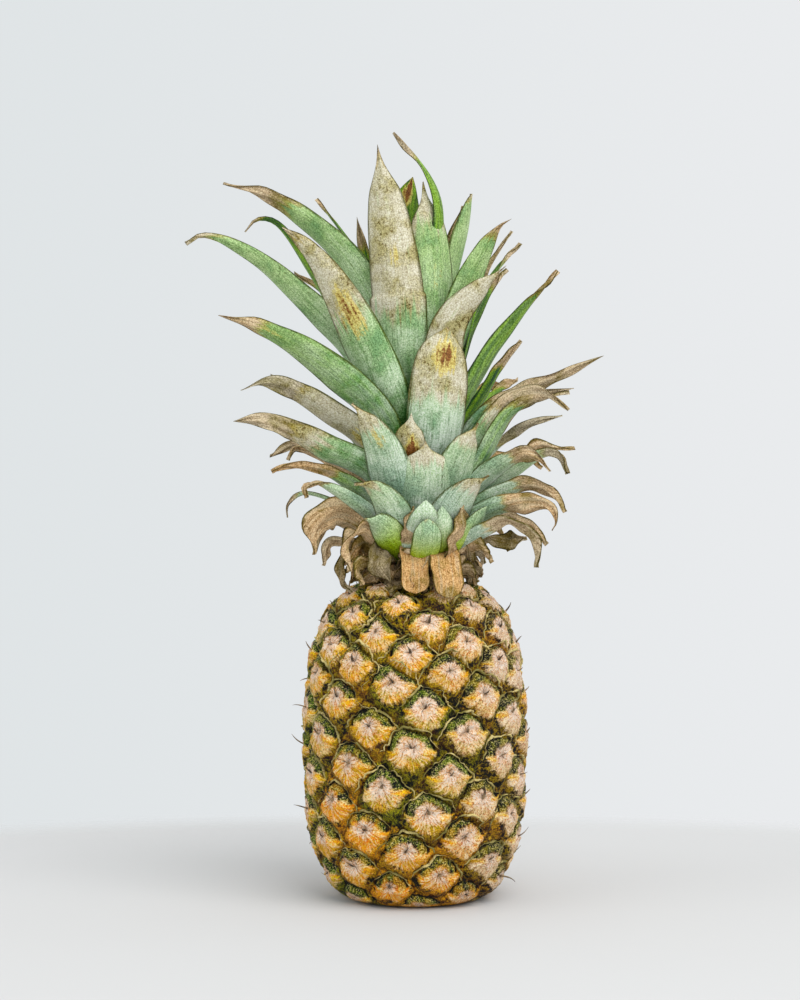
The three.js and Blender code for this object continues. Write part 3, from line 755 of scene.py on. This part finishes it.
# from the fresh green skin, with painted shade at its feet, through its pale, scorched and stained
# parts, to the dry end
colour = paint_over(
    tree, "#E0EBE2",
    ("#74987F", 1, (bloom, 0.35, 0.65)),
    ("#A8C486", 0.5, (own, 0.3, 0.8)),
    ("#B0C68C", 0.7, (along, 0.25, 0.8)),
    ("#6A8E62", 0.45, (band, 0.52, 0.66)),
    ("#5F8A72", 0.4, (bloom, 0.5, 0.7)),
    ("#D9E4D8", 1, whitish),
    (lush, 1, lush_at),
    ("#4E6E46", 0.42, (fibre, 0.48, 0.66)),
    ("#A6C03C", 1, lime),
    # painted shade: the feet darkened to deep green where the leaves overlap and shade each other
    ("#2F4A26", 0.8, (along, 0.36, 0.08)),
    (half_dried, 0.93, (cream, 0.35, 0.75, (band, 1.4))),
    ("#D0C07C", 0.85, (burn, 0.25, 0.6)),
    ("#8A6850", 1, (burn, 0.62, 0.95)),
    ("#5B5636", 0.55, (speck, 0.58, 0.66), (band, 0.48, 0.62)),
    ("#A08F40", 2.2, dry_at, not_dry),
    (brown, 1, dry_at),
    ("#454522", 0.75, (side_share, 0.86, 0.98, (fibre, 0.3))))
shade = paint_over(tree, "#606060", ("#F0F0F0", 1, (grit, 0.3, 0.7)))
colour = node(tree, "Mix", [0.5, colour, shade], data_type="RGBA", blend_type="OVERLAY")
colour = node(tree, "BrightContrast", {"Color": colour, "Contrast": 0.16})
colour = node(tree, "HueSaturation", {"Color": colour, "Saturation": 1.06, "Value": 0.96})
rough = node(tree, "MapRange", [dry_at, 0, 1, 0.5, 0.85])
relief = node(tree, "Math", [speck, 0.35, fibre], operation="MULTIPLY_ADD")
bump = node(tree, "Bump", {"Height": relief, "Distance": 0.0005, "Strength": 0.8})
shader = node(tree, "BsdfPrincipled", {"Base Color": colour, "Roughness": rough,
                                       "Normal": bump, "Specular IOR Level": 0.35})
node(tree, "OutputMaterial", [shader])

# Turn and height of the foot on the stem, width, bluntness of the taper, roll of the blade,
# then where along it the tip is dry, how brown that is, where it pales to cream, how green
# it is, and the points its middle rib passes through.  Past 1 along the leaf means nowhere.
LEAVES = {
    "drooping_left_low": (-75, 166, 9, 2.4, 30, (0.4, 0.4, 1.3, 0.3),
        [[-24, -8, 174], [-35, -11, 181], [-44, -13, 177], [-46, -13, 168]]),
    "drooping_left_wide": (-62, 167, 17, 5, 60, (0.3, 0.6, 1.3, 0.5),
        [[-28, -17, 188], [-39, -25, 194], [-48, -31, 187], [-50, -33, 174]]),
    "drooping_left_front": (-38, 166, 13, 5, 45, (0.25, 0.6, 1.3, 0.3),
        [[-19, -26, 182], [-28, -35, 186], [-33, -40, 177], [-32, -41, 166]]),
    "fold_left_front": (-28, 168, 18, 6, 30, (1.0, 0.1, 0.9, 0.1),
        [[-11, -29, 180], [-17, -34, 188], [-25, -37, 192]]),
    "fold_front": (6, 165, 16, 12, 0, (1.2, 0.1, 0.9, 0),
        [[5, -33, 174], [6, -42, 184], [6, -43, 192]]),
    "fold_front_right": (22, 166, 15, 12, 0, (1.2, 0.1, 0.95, 0),
        [[13, -24, 176], [16, -28, 187], [16, -27, 196]]),
    "drooping_right_front": (52, 166, 12, 4.4, -40, (0.5, 0.3, 0.4, 0.1),
        [[25, -24, 179], [38, -32, 187], [47, -36, 189], [55, -39, 185], [59, -41, 177],
         [59, -41, 168]]),
    "drooping_right_back": (98, 167, 11, 2.6, 0, (0.45, 0.5, 1.3, 0.2),
        [[28, 6, 183], [44, 9, 192], [58, 12, 190], [68, 14, 178]]),
    "drooping_back_right": (128, 166, 12, 2.8, 0, (0.35, 0.5, 1.3, 0.3),
        [[22, 20, 181], [34, 30, 190], [44, 40, 187], [50, 46, 174]]),
    "drooping_back": (158, 167, 11, 2.6, 0, (0.3, 0.6, 1.3, 0.2),
        [[10, 28, 182], [16, 42, 190], [20, 55, 186], [22, 62, 172]]),
    "drooping_back_left": (-168, 166, 12, 2.6, 0, (0.4, 0.6, 1.3, 0.3),
        [[-7, 29, 181], [-10, 44, 189], [-14, 58, 187], [-18, 68, 176]]),
    "drooping_left_back": (-132, 167, 11, 2.6, 0, (0.35, 0.5, 1.3, 0.2),
        [[-22, 22, 183], [-36, 34, 190], [-47, 43, 186], [-53, 49, 173]]),
    "hooked_left_thin": (-96, 170, 7, 2.2, 30, (0.82, 0.3, 1.3, 0.4),
        [[-28, 4, 191], [-46, 5, 202], [-58, 5, 204], [-65, 5, 199], [-65, 5, 192]]),
    "hooked_left_small": (-50, 172, 11, 2.4, 50, (0.8, 0.5, 1.3, 0.2),
        [[-23, -27, 194], [-38, -38, 205], [-48, -43, 209], [-54, -45, 207], [-53, -45, 202]]),
    "orange_tip_left": (-66, 176, 12, 2.2, 50, (0.62, 0.7, 1.3, 0.6),
        [[-24, -17, 201], [-38, -24, 212], [-52, -28, 217], [-64, -30, 218], [-71, -31, 215]]),
    "short_front_left": (-22, 172, 22, 3.4, 15, (0.94, 0.1, 0.74, 0),
        [[-10, -31, 191], [-17, -38, 203], [-24, -40, 208], [-30, -40, 209]]),
    "small_front": (10, 171, 17, 9, 0, (1.2, 0.1, 1.3, 0),
        [[3, -34, 185], [5, -41, 194], [5, -41, 201]]),
    "short_front_right": (30, 172, 25, 3.6, -15, (0.95, 0.1, 0.7, 0),
        [[16, -29, 190], [23, -36, 202], [30, -39, 209], [36, -39, 213]]),
    "hooked_right_orange": (56, 170, 13, 4, -50, (0.58, 0.6, 1.3, 0.2),
        [[28, -22, 190], [42, -29, 198], [56, -34, 200], [66, -36, 197], [69, -36, 190],
         [67, -36, 186]]),
    "hooked_right_brown": (68, 174, 13, 3.6, -50, (0.65, 0.5, 1.3, 0.2),
        [[30, -17, 196], [48, -24, 206], [60, -27, 208], [70, -29, 202], [74, -30, 195]]),
    "back_right_low": (112, 176, 15, 2.4, 0, (0.7, 0.5, 1.3, 0.3),
        [[27, 11, 202], [46, 19, 219], [66, 27, 228], [84, 34, 228]]),
    "back_low": (172, 175, 16, 2.4, 0, (0.6, 0.6, 1.3, 0.3),
        [[5, 29, 201], [8, 48, 218], [10, 68, 226], [11, 86, 224]]),
    "back_left_low": (-146, 176, 15, 2.4, 0, (0.7, 0.2, 0.6, 0.3),
        [[-19, 25, 202], [-33, 42, 219], [-47, 58, 229], [-60, 72, 230]]),
    "brown_left": (-84, 180, 16, 5, 50, (0.2, 0.55, 1.3, 0.1),
        [[-26, -4, 206], [-39, -6, 217], [-53, -7, 226], [-61, -7, 227], [-64, -7, 221]]),
    "long_left_low": (-58, 186, 19, 3, 50, (0.72, 0.2, 0.5, 0.15),
        [[-22, -22, 213], [-44, -36, 226], [-60, -44, 235], [-76, -50, 240], [-88, -54, 239]]),
    "heart_front": (6, 178, 31, 7.5, 0, (0.97, 0.1, 0.72, 0),
        [[4, -25, 196], [5, -32, 211], [5, -35, 223], [5, -35, 230]]),
    "broad_front_right": (34, 182, 27, 3.6, -15, (0.95, 0.2, 0.72, 0),
        [[17, -22, 203], [22, -29, 219], [27, -32, 232], [31, -32, 239]]),
    "arching_right": (60, 181, 15, 3.4, -40, (0.72, 0.5, 1.3, 0.1),
        [[28, -18, 205], [42, -27, 218], [53, -32, 223], [61, -35, 221], [66, -37, 215]]),
    "pale_tip_right": (78, 182, 13, 3.4, -50, (0.8, 0.1, 1.3, 0.2),
        [[27, -9, 202], [47, -14, 214], [63, -17, 223], [73, -19, 222], [76, -19, 214]]),
    "grey_tip_right": (100, 186, 12, 2.2, -45, (0.6, 0.05, 0.5, 0.1),
        [[25, 2, 210], [42, 3, 228], [56, 3, 238], [75, 2, 244]]),
    "back_right_middle": (140, 190, 17, 2.4, 0, (0.85, 0.5, 1.3, 0.3),
        [[17, 18, 216], [31, 34, 242], [45, 52, 259], [56, 68, 266]]),
    "back_left_middle": (-120, 191, 17, 2.4, 0, (0.8, 0.2, 1.3, 0.3),
        [[-21, 14, 217], [-40, 25, 242], [-59, 37, 259], [-76, 48, 267]]),
    "broad_front_left": (-30, 188, 26, 3.4, 20, (0.94, 0.3, 0.7, 0),
        [[-12, -29, 208], [-16, -37, 224], [-24, -43, 239], [-31, -45, 248]]),
    "dry_left": (-72, 196, 18, 3.4, 50, (0.72, 0, 0.2, 0.1),
        [[-24, -12, 228], [-44, -21, 245], [-61, -27, 255], [-75, -31, 259], [-86, -33, 255]]),
    "dried_front": (-2, 190, 20, 7, 0, (1.3, 0.3, 0.1, 0.1),
        [[-2, -25, 213], [-3, -33, 229], [-2, -34, 244]]),
    "green_right": (82, 195, 11, 2.2, -25, (0.75, 0.25, 1.3, 0.7),
        [[25, -8, 222], [43, -13, 240], [58, -16, 250], [77, -18, 255]]),
    "brown_arch_right": (50, 194, 18, 3.2, -45, (0.62, 0.35, 0.45, 0.1),
        [[26, -15, 216], [38, -24, 237], [51, -31, 251], [64, -36, 253], [75, -39, 245]]),
    "left_low_broad": (-54, 206, 22, 2.8, 47, (0.86, 0.5, 1.3, 0.3),
        [[-18, -20, 240], [-45, -37, 267], [-74, -50, 284], [-95, -56, 290]]),
    "back_leaf": (176, 204, 19, 2.4, 0, (0.9, 0.4, 1.3, 0.3),
        [[4, 20, 232], [7, 36, 268], [10, 56, 295], [12, 72, 308]]),
    "upright_front_right": (16, 202, 32, 10, -8, (0.97, 0.2, 0.5, 0),
        [[9, -22, 226], [12, -28, 254], [14, -28, 276], [16, -25, 287]]),
    "long_right_brown": (84, 207, 15, 2.8, -45, (0.45, 0.35, 1.3, 0.2),
        [[34, -10, 241], [56, -15, 255], [78, -18, 266], [94, -19, 273]]),
    "olive_right": (108, 208, 18, 3.2, -40, (0.8, 0.4, 1.3, 1),
        [[22, 5, 234], [35, 5, 253], [46, 3, 272], [54, 1, 282]]),
    "long_right": (70, 214, 16, 2.4, -30, (0.86, 0.4, 1.3, 0.75),
        [[23, -12, 246], [38, -18, 274], [56, -21, 298], [71, -22, 315]]),
    "back_right_tall": (146, 216, 18, 2.4, 0, (0.86, 0.3, 1.3, 0.3),
        [[14, 18, 248], [27, 34, 286], [40, 51, 312], [50, 64, 325]]),
    "left_sweeping": (-66, 216, 19, 2.6, 47, (0.92, 0.05, 1.3, 0.05),
        [[-30, -14, 272], [-57, -23, 302], [-83, -29, 323], [-105, -33, 331],
         [-113, -34, 327]]),
    "cream_left": (-34, 218, 28, 3, 25, (0.93, 0.1, 0.5, 0.05),
        [[-14, -20, 250], [-33, -33, 293], [-51, -40, 322], [-65, -43, 334]]),
    "dark_narrow_right": (92, 222, 9, 2, 0, (0.74, 0.3, 1.3, 1),
        [[21, -1, 256], [28, -2, 286], [38, -3, 320], [49, -4, 337]]),
    "whitish_right": (36, 220, 24, 3.4, -40, (0.95, 0.1, 0.3, 0),
        [[11, -17, 256], [17, -22, 288], [31, -26, 305], [45, -28, 317]]),
    "hooked_tip_left": (-104, 222, 16, 2.8, 50, (0.93, 0.35, 1.3, 0.9),
        [[-19, 8, 262], [-43, 16, 302], [-59, 21, 328], [-73, 23, 345], [-82, 24, 346],
         [-88, 24, 340]]),
    "tall_centre": (-14, 228, 30, 5.4, 0, (0.95, 0.25, 0.36, 0.1),
        [[-8, -12, 262], [-10, -14, 306], [-15, -10, 348], [-19, -8, 380]]),
    "right_upper": (58, 230, 21, 3.4, -45, (0.9, 0.5, 0.85, 0.15),
        [[17, -12, 278], [28, -16, 312], [42, -20, 337], [48, -21, 341]]),
    "tall_pale": (22, 236, 28, 6.5, 0, (1.0, 0.2, 0.74, 0.15),
        [[6, -8, 272], [9, -9, 306], [8, -6, 336], [4, -4, 362]]),
    "back_left_tall": (-82, 234, 23, 2.6, 50, (0.8, 0.35, 1.3, 0.15),
        [[-12, 0, 276], [-29, 4, 315], [-48, 7, 337], [-74, 8, 355], [-98, 8, 363]]),
    "slender_back_left": (-140, 240, 15, 2.2, 30, (0.93, 0.5, 1.3, 0.35),
        [[-9, 12, 284], [-25, 17, 318], [-39, 21, 341], [-51, 23, 357]]),
    "inner_back": (160, 243, 25, 9, 0, (1.02, 0.6, 1.3, 0.9),
        [[0, 18, 285], [-4, 23, 330], [-4, 22, 354], [-1, 20, 368]]),
    "twisted_tip": (62, 242, 17, 2.8, 0, (0.9, 0.3, 1.3, 0.75),
        [[11, -1, 290], [13, -1, 332], [12, -4, 354], [3, -7, 371], [-11, -9, 386]]),
    "pale_right": (100, 238, 27, 10, -25, (0.98, 0.1, 1.3, 0.1),
        [[13, 10, 276], [20, 12, 312], [27, 12, 342], [29, 11, 358]]),
    "fold_low_left": (-8, 166, 13, 4, 0, (0.5, 0.5, 1.3, 0.1),
        [[-2, -28, 177], [-2, -33, 188], [-1, -33, 198]]),
    "fold_low_right": (42, 167, 15, 8, 0, (1.2, 0, 1.3, 0.1),
        [[22, -24, 178], [30, -29, 189], [35, -31, 198]]),
    "fold_low_small": (18, 166, 13, 9, 0, (1.2, 0, 1.3, 0.1),
        [[13, -32, 180], [14, -36, 190], [13, -35, 198]]),
    "fold_low_brown": (30, 166, 12, 5, 0, (0.3, 0.5, 1.3, 0),
        [[20, -30, 180], [23, -33, 192], [23, -33, 200]]),
    "tongue_left": (-3, 176, 14, 30, 0, (-0.3, 1, 1.3, 0),
        [[-1, -28, 174], [0, -35, 166], [0, -38, 155]]),
    "tongue_right": (22, 176, 15, 30, 0, (-0.3, 1, 1.3, 0),
        [[13, -28, 174], [15, -36, 165], [15, -39, 153]]),
    "collar_left": (-40, 171, 13, 5, 0, (-0.3, 0.1, 1.3, 0),
        [[-18, -26, 175], [-17, -34, 170], [-12, -38, 160]]),
    "curl_right_low": (74, 165, 11, 5, 0, (0.1, 0.2, 1.3, 0),
        [[26, -8, 173], [37, -11, 181], [47, -13, 180], [56, -14, 182]]),
    "dark_left_inner": (160, 240, 15, 3, 0, (0.85, 0.4, 1.3, 1),
        [[-14, 18, 285], [-24, 24, 320], [-30, 26, 348]]),
    "brown_behind_pale": (104, 240, 13, 3, -60, (0.2, 0.5, 1.3, 0.4),
        [[14, 16, 290], [19, 19, 330], [25, 20, 353]]),
    "arch_right": (62, 186, 13, 3, -30, (0.72, 0.2, 1.3, 0.5),
        [[34, -24, 222], [46, -30, 243], [60, -32, 252], [78, -33, 256]]),
    "curl_left_thin": (-70, 164, 7, 3, 30, (0.3, 0.3, 1.3, 0),
        [[-26, -10, 172], [-36, -14, 170], [-36, -16, 160], [-31, -18, 155]]),
    "curl_left_brown": (-50, 164, 11, 5, 40, (0.1, 0.6, 1.3, 0),
        [[-22, -24, 168], [-28, -30, 168], [-26, -32, 159]]),
    "curl_right_brown": (50, 168, 11, 4, 0, (0.1, 0.5, 1.3, 0),
        [[24, -22, 176], [32, -26, 178], [38, -28, 170]]),
    "back_upright": (-170, 226, 20, 2.6, 0, (0.9, 0.3, 1.3, 0.3),
        [[-3, 16, 258], [-8, 30, 300], [-13, 42, 330], [-17, 52, 346]]),
    "back_right_upright": (118, 226, 18, 2.6, 0, (0.88, 0.3, 1.3, 0.35),
        [[14, 12, 258], [30, 24, 296], [44, 33, 322], [56, 40, 336]]),
    "back_left_upright": (-124, 220, 19, 2.6, 0, (0.88, 0.4, 1.3, 0.3),
        [[-15, 14, 252], [-31, 30, 286], [-48, 44, 310], [-64, 55, 322]]),
    "back_spread": (152, 196, 18, 2.6, 0, (0.84, 0.6, 1.3, 0.3),
        [[13, 24, 222], [26, 44, 246], [38, 60, 260], [47, 74, 264]]),
    "back_left_spread": (-156, 198, 18, 2.6, 0, (0.84, 0.5, 1.3, 0.3),
        [[-10, 24, 224], [-20, 46, 248], [-29, 64, 260], [-36, 78, 262]]),
    "back_side_right": (126, 180, 15, 3, 0, (0.62, 0.7, 1.3, 0.2),
        [[22, 18, 202], [40, 32, 218], [55, 44, 224], [68, 54, 218]]),
    "back_side_left": (-110, 184, 15, 3, 0, (0.6, 0.4, 1.3, 0.2),
        [[-24, 12, 207], [-44, 22, 224], [-62, 31, 230], [-76, 38, 224]]),
    "back_short": (-176, 172, 17, 3, 0, (0.86, 0.3, 1.3, 0.1),
        [[-2, 30, 190], [-3, 40, 204], [-4, 50, 208]]),
    "back_short_right": (140, 172, 17, 3, 0, (0.8, 0.6, 1.3, 0.1),
        [[18, 24, 190], [26, 34, 204], [34, 44, 208]]),
    "back_short_left": (-150, 173, 17, 3, 0, (0.82, 0.5, 1.3, 0.1),
        [[-15, 26, 191], [-22, 38, 204], [-29, 48, 207]]),
}


def leaf_form(turn, height, width, bluntness, roll, look, points, burnt, luck, cuff=None):
    """A leaf as a closed sheet: rows along its rib, each row an arc of a channel with an
    inner and an outer face.  At a share s of its length it is as wide as 1 - s ** bluntness
    times its width.  It dries, curls and twists towards its tip, and below a cuff it is
    wider and stands proud.  Returns points, faces, attributes and corner UVs."""
    dry_from, hue, cream_from, green = look
    half = 17                               # points across each face
    foot_share = 0.72                       # width where it clasps the stem, over its full width
    s = np.linspace(0, 1, 46) ** 0.92       # rows, closer towards the tip
    if cuff:
        s = np.sort(np.append(s, [cuff - 0.006, cuff + 0.006]))
    rows = len(s)
    cuffed = 1 - smooth(cuff - 0.007, cuff + 0.007, s) if cuff else np.zeros(rows)
    stem = 17 - 12 * (height - 162.4) / 85.6    # its radius there: it tapers from 17 mm to 5
    foot = [(stem - 0.5) * math.sin(math.radians(turn)),
            -(stem - 0.5) * math.cos(math.radians(turn)), height]
    middle = rib([foot] + points, s)
    length = np.linalg.norm(np.diff(middle, axis=0), axis=1).sum()
    dry = smooth(dry_from - 0.1, dry_from + 0.12, s)
    along = unit(np.gradient(middle, axis=0))
    # across the blade and towards its inner face, turned about the rib by the roll
    sideways = np.array([math.cos(math.radians(turn)), math.sin(math.radians(turn)), 0])
    side = unit(sideways - (along @ sideways)[:, None] * along)
    crumple = dry * (0.2 if hue == 1 else 1.0)
    twist = np.radians(roll * np.minimum(1, 2 * s) + luck.uniform(-50, 50) * crumple ** 2)[:, None]
    turned_side = side * np.cos(twist) + np.cross(along, side) * np.sin(twist)
    inward = -np.cross(turned_side, along)
    wobble = crumple * np.sin(np.pi * s) * luck.uniform(0.5, 1.6)
    phase = luck.uniform(0, 6.3, 6)
    middle = middle + (turned_side * (wobble * np.sin(14 * s + phase[0]))[:, None]
                       + inward * (wobble * np.sin(17 * s + phase[1]))[:, None])
    # half the width of each row, which keeps a hair's breadth at the tip
    base = foot_share + (1 - foot_share) * smooth(0, 0.36, s)
    wide = width / 2 * base * (1 - s ** bluntness) * (1 + 0.12 * dry)
    wide = wide * (1 - 0.6 * smooth(0.84, 0.96, s) * (3.2 < bluntness < 8))
    wide = wide * (1 + 0.09 * cuffed)
    wide = wide * (1 + 0.22 * crumple * np.sin(23 * s + phase[5]) * np.sin(9 * s + phase[2]))
    wide = np.maximum(wide, 0.35 * (1 - s) + 0.05)
    # each row bends round an arc, opens out towards the tip, and ripples at its edges
    channel = np.radians(58 - 20 * smooth(0, 0.6, s) + luck.uniform(-20, 45) * dry)
    v = np.linspace(-1, 1, half)
    ring_v = np.concatenate([v, v[::-1]])
    layer = np.concatenate([-np.ones(half), np.ones(half)])
    bend = (wide / channel)[:, None]
    x = bend * np.sin(ring_v[None] * channel[:, None])
    bow = bend * (1 - np.cos(ring_v[None] * channel[:, None]))
    thick = (1.5 * (1 - 0.65 * s))[:, None] * (1 - ring_v[None] ** 2) / 2 + 0.14
    edge_wave = (0.35 + 2.1 * crumple)[:, None] * np.abs(ring_v[None]) ** 3 * (
        np.sin(length / 9 * s[:, None] + phase[2] + 2.6 * (ring_v[None] > 0))
        + 0.6 * np.sin(length / 4.2 * s[:, None] + phase[3] + 1.7 * (ring_v[None] > 0)))
    edge_wave *= smooth(0.1, 0.3, s)[:, None] * np.minimum(1, wide / 4)[:, None]
    crease = 0.7 * crumple[:, None] * (np.sin(6 * ring_v[None] + 9 * s[:, None] + phase[4])
                                  + 0.6 * np.sin(3 * ring_v[None] - 31 * s[:, None] + phase[0]))
    lift = bow + layer[None] * thick + edge_wave + crease - 1.0 * cuffed[:, None]
    ring_points = (middle[:, None] + turned_side[:, None] * x[..., None]
                   + inward[:, None] * lift[..., None])
    points = np.vstack([ring_points.reshape(-1, 3), middle[:1], middle[-1:]])
    faces = grid_faces(rows, 2 * half)
    caps = end_caps(rows, 2 * half)
    cream = 0.9 * smooth(cream_from - 0.08, cream_from + 0.2, s)
    margin_dry = 0.22 * ring_v[None] ** 2 * smooth(dry_from - 0.45, dry_from, s)[:, None]
    own = min(1, 0.011 * (height - 165) + 0.4 * luck.uniform())
    from_burn = ((s - burnt[0]) / burnt[1])[:, None] ** 2 + ((ring_v[None] - 0.1) / 0.45) ** 2
    # the lowest leaves are lime green at their feet, unless they are dry
    lime = 0.85 * (height < 169) * (1 - smooth(0.4, 0.86, s)) * (dry_from > 0.5)
    values = {"along": s[:, None], "across": ring_v[None], "outer": layer[None] < 0,
              "cream": cream[:, None], "dry": np.clip(dry[:, None] + margin_dry, 0, 1),
              "green": green, "hue": hue, "own": own, "lime": lime[:, None],
              "burnt": burnt[2] * np.exp(-from_burn)}
    values = {key: per_point(np.broadcast_to(value, x.shape).ravel().astype(float))
              for key, value in values.items()}
    grain = np.broadcast_arrays(ring_v[None] * wide[:, None] / 10 + 3 * phase[0],
                                s[:, None] * length / 10 + 7 * phase[1])
    grain = np.stack(grain, axis=-1).reshape(-1, 2)
    uv = np.vstack([grain[faces].reshape(-1, 2), np.zeros((len(caps) * 3, 2))])
    return points, faces.tolist() + caps.tolist(), values, uv


# Leaves that are scorched part of the way up: where along them, how far, and how badly.
SCORCHED = {"cream_left": (0.62, 0.1, 1.0), "upright_front_right": (0.84, 0.11, 1.1),
            "tall_centre": (0.62, 0.07, 0.36), "tall_pale": (0.62, 0.1, 0.3),
            "left_low_broad": (0.8, 0.1, 0.3), "dry_left": (0.36, 0.08, 0.7),
            "dried_front": (0.62, 0.15, 1.7), "inner_back": (0.95, 0.07, 1.3),
            "broad_front_left": (0.72, 0.1, 0.5), "heart_front": (0.8, 0.1, 0.2),
            "back_right_tall": (0.6, 0.1, 0.6), "back_upright": (0.7, 0.1, 0.6)}

# The leaves that have a solid of the same name stand for it; the thinnest have none.
luck = np.random.default_rng(5)
for name, (turn, height, width, bluntness, roll, look, points) in LEAVES.items():
    burnt = SCORCHED.get(name, (0, 1, 0))
    form = leaf_form(turn, height, width, bluntness, roll, look, points, burnt, luck,
                     cuff=0.5 if name == "tall_centre" else None)
    leaf = mesh_object("crown_" + name, form[0], form[1], blade, form[2], form[3])
    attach(leaf, "root")
    if "leaf_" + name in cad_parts:
        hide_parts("leaf_" + name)

# ----------------------------------------
# The neck scales: the oldest, lowest leaves of the crown, dried to short papery grey and
# brown scales that droop and curl all round the neck of the fruit.
# ----------------------------------------

# Each scale's path runs out from its foot and hangs, rises, or rises and bends over.  The
# lowest ones all hang, and those in front lie up to 3 mm lower.
SCALE_COUNT, HANGING_SCALES = 46, 18
luck = np.random.default_rng(31)
scales = []
for number in range(SCALE_COUNT):
    turn = 137.5 * number + 12
    facing = math.cos(math.radians(turn))
    ahead = -facing ** 2 if facing > 0.7 else 0
    foot_height = 162.7 + 0.15 * number
    kind = luck.integers(0, 3)
    radii = ([22, 29, 35], [22, 27, 30], [24, 32, 36])[kind] + luck.uniform(-2, 3, 3)
    if number < HANGING_SCALES:
        kind = 0
    heights = foot_height + np.array(([0, -1, -5], [5, 10, 14], [6, 7, 0])[kind], float)
    heights = heights + luck.uniform(-1.5, 2, 3) + 3 * ahead
    swing = np.radians(turn + np.array([2, 6, 12]) * luck.uniform(-1, 1))
    path = np.stack([radii * np.sin(swing), -radii * np.cos(swing), heights], axis=1)
    scales.append(leaf_form(turn, foot_height, luck.uniform(9, 15), 3.5, luck.uniform(-30, 30),
                            (-0.3, luck.uniform(0, 0.9), 1.3, 0), path.tolist(), (0, 1, 0), luck))
first = np.cumsum([0] + [len(form[0]) for form in scales])
neck = mesh_object(
    "neck_scales", np.vstack([form[0] for form in scales]),
    [[point + start for point in face] for form, start in zip(scales, first)
     for face in form[1]], blade,
    {key: np.concatenate([form[2][key] for form in scales]) for key in scales[0][2]},
    np.vstack([form[3] for form in scales]))
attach(neck, "root")
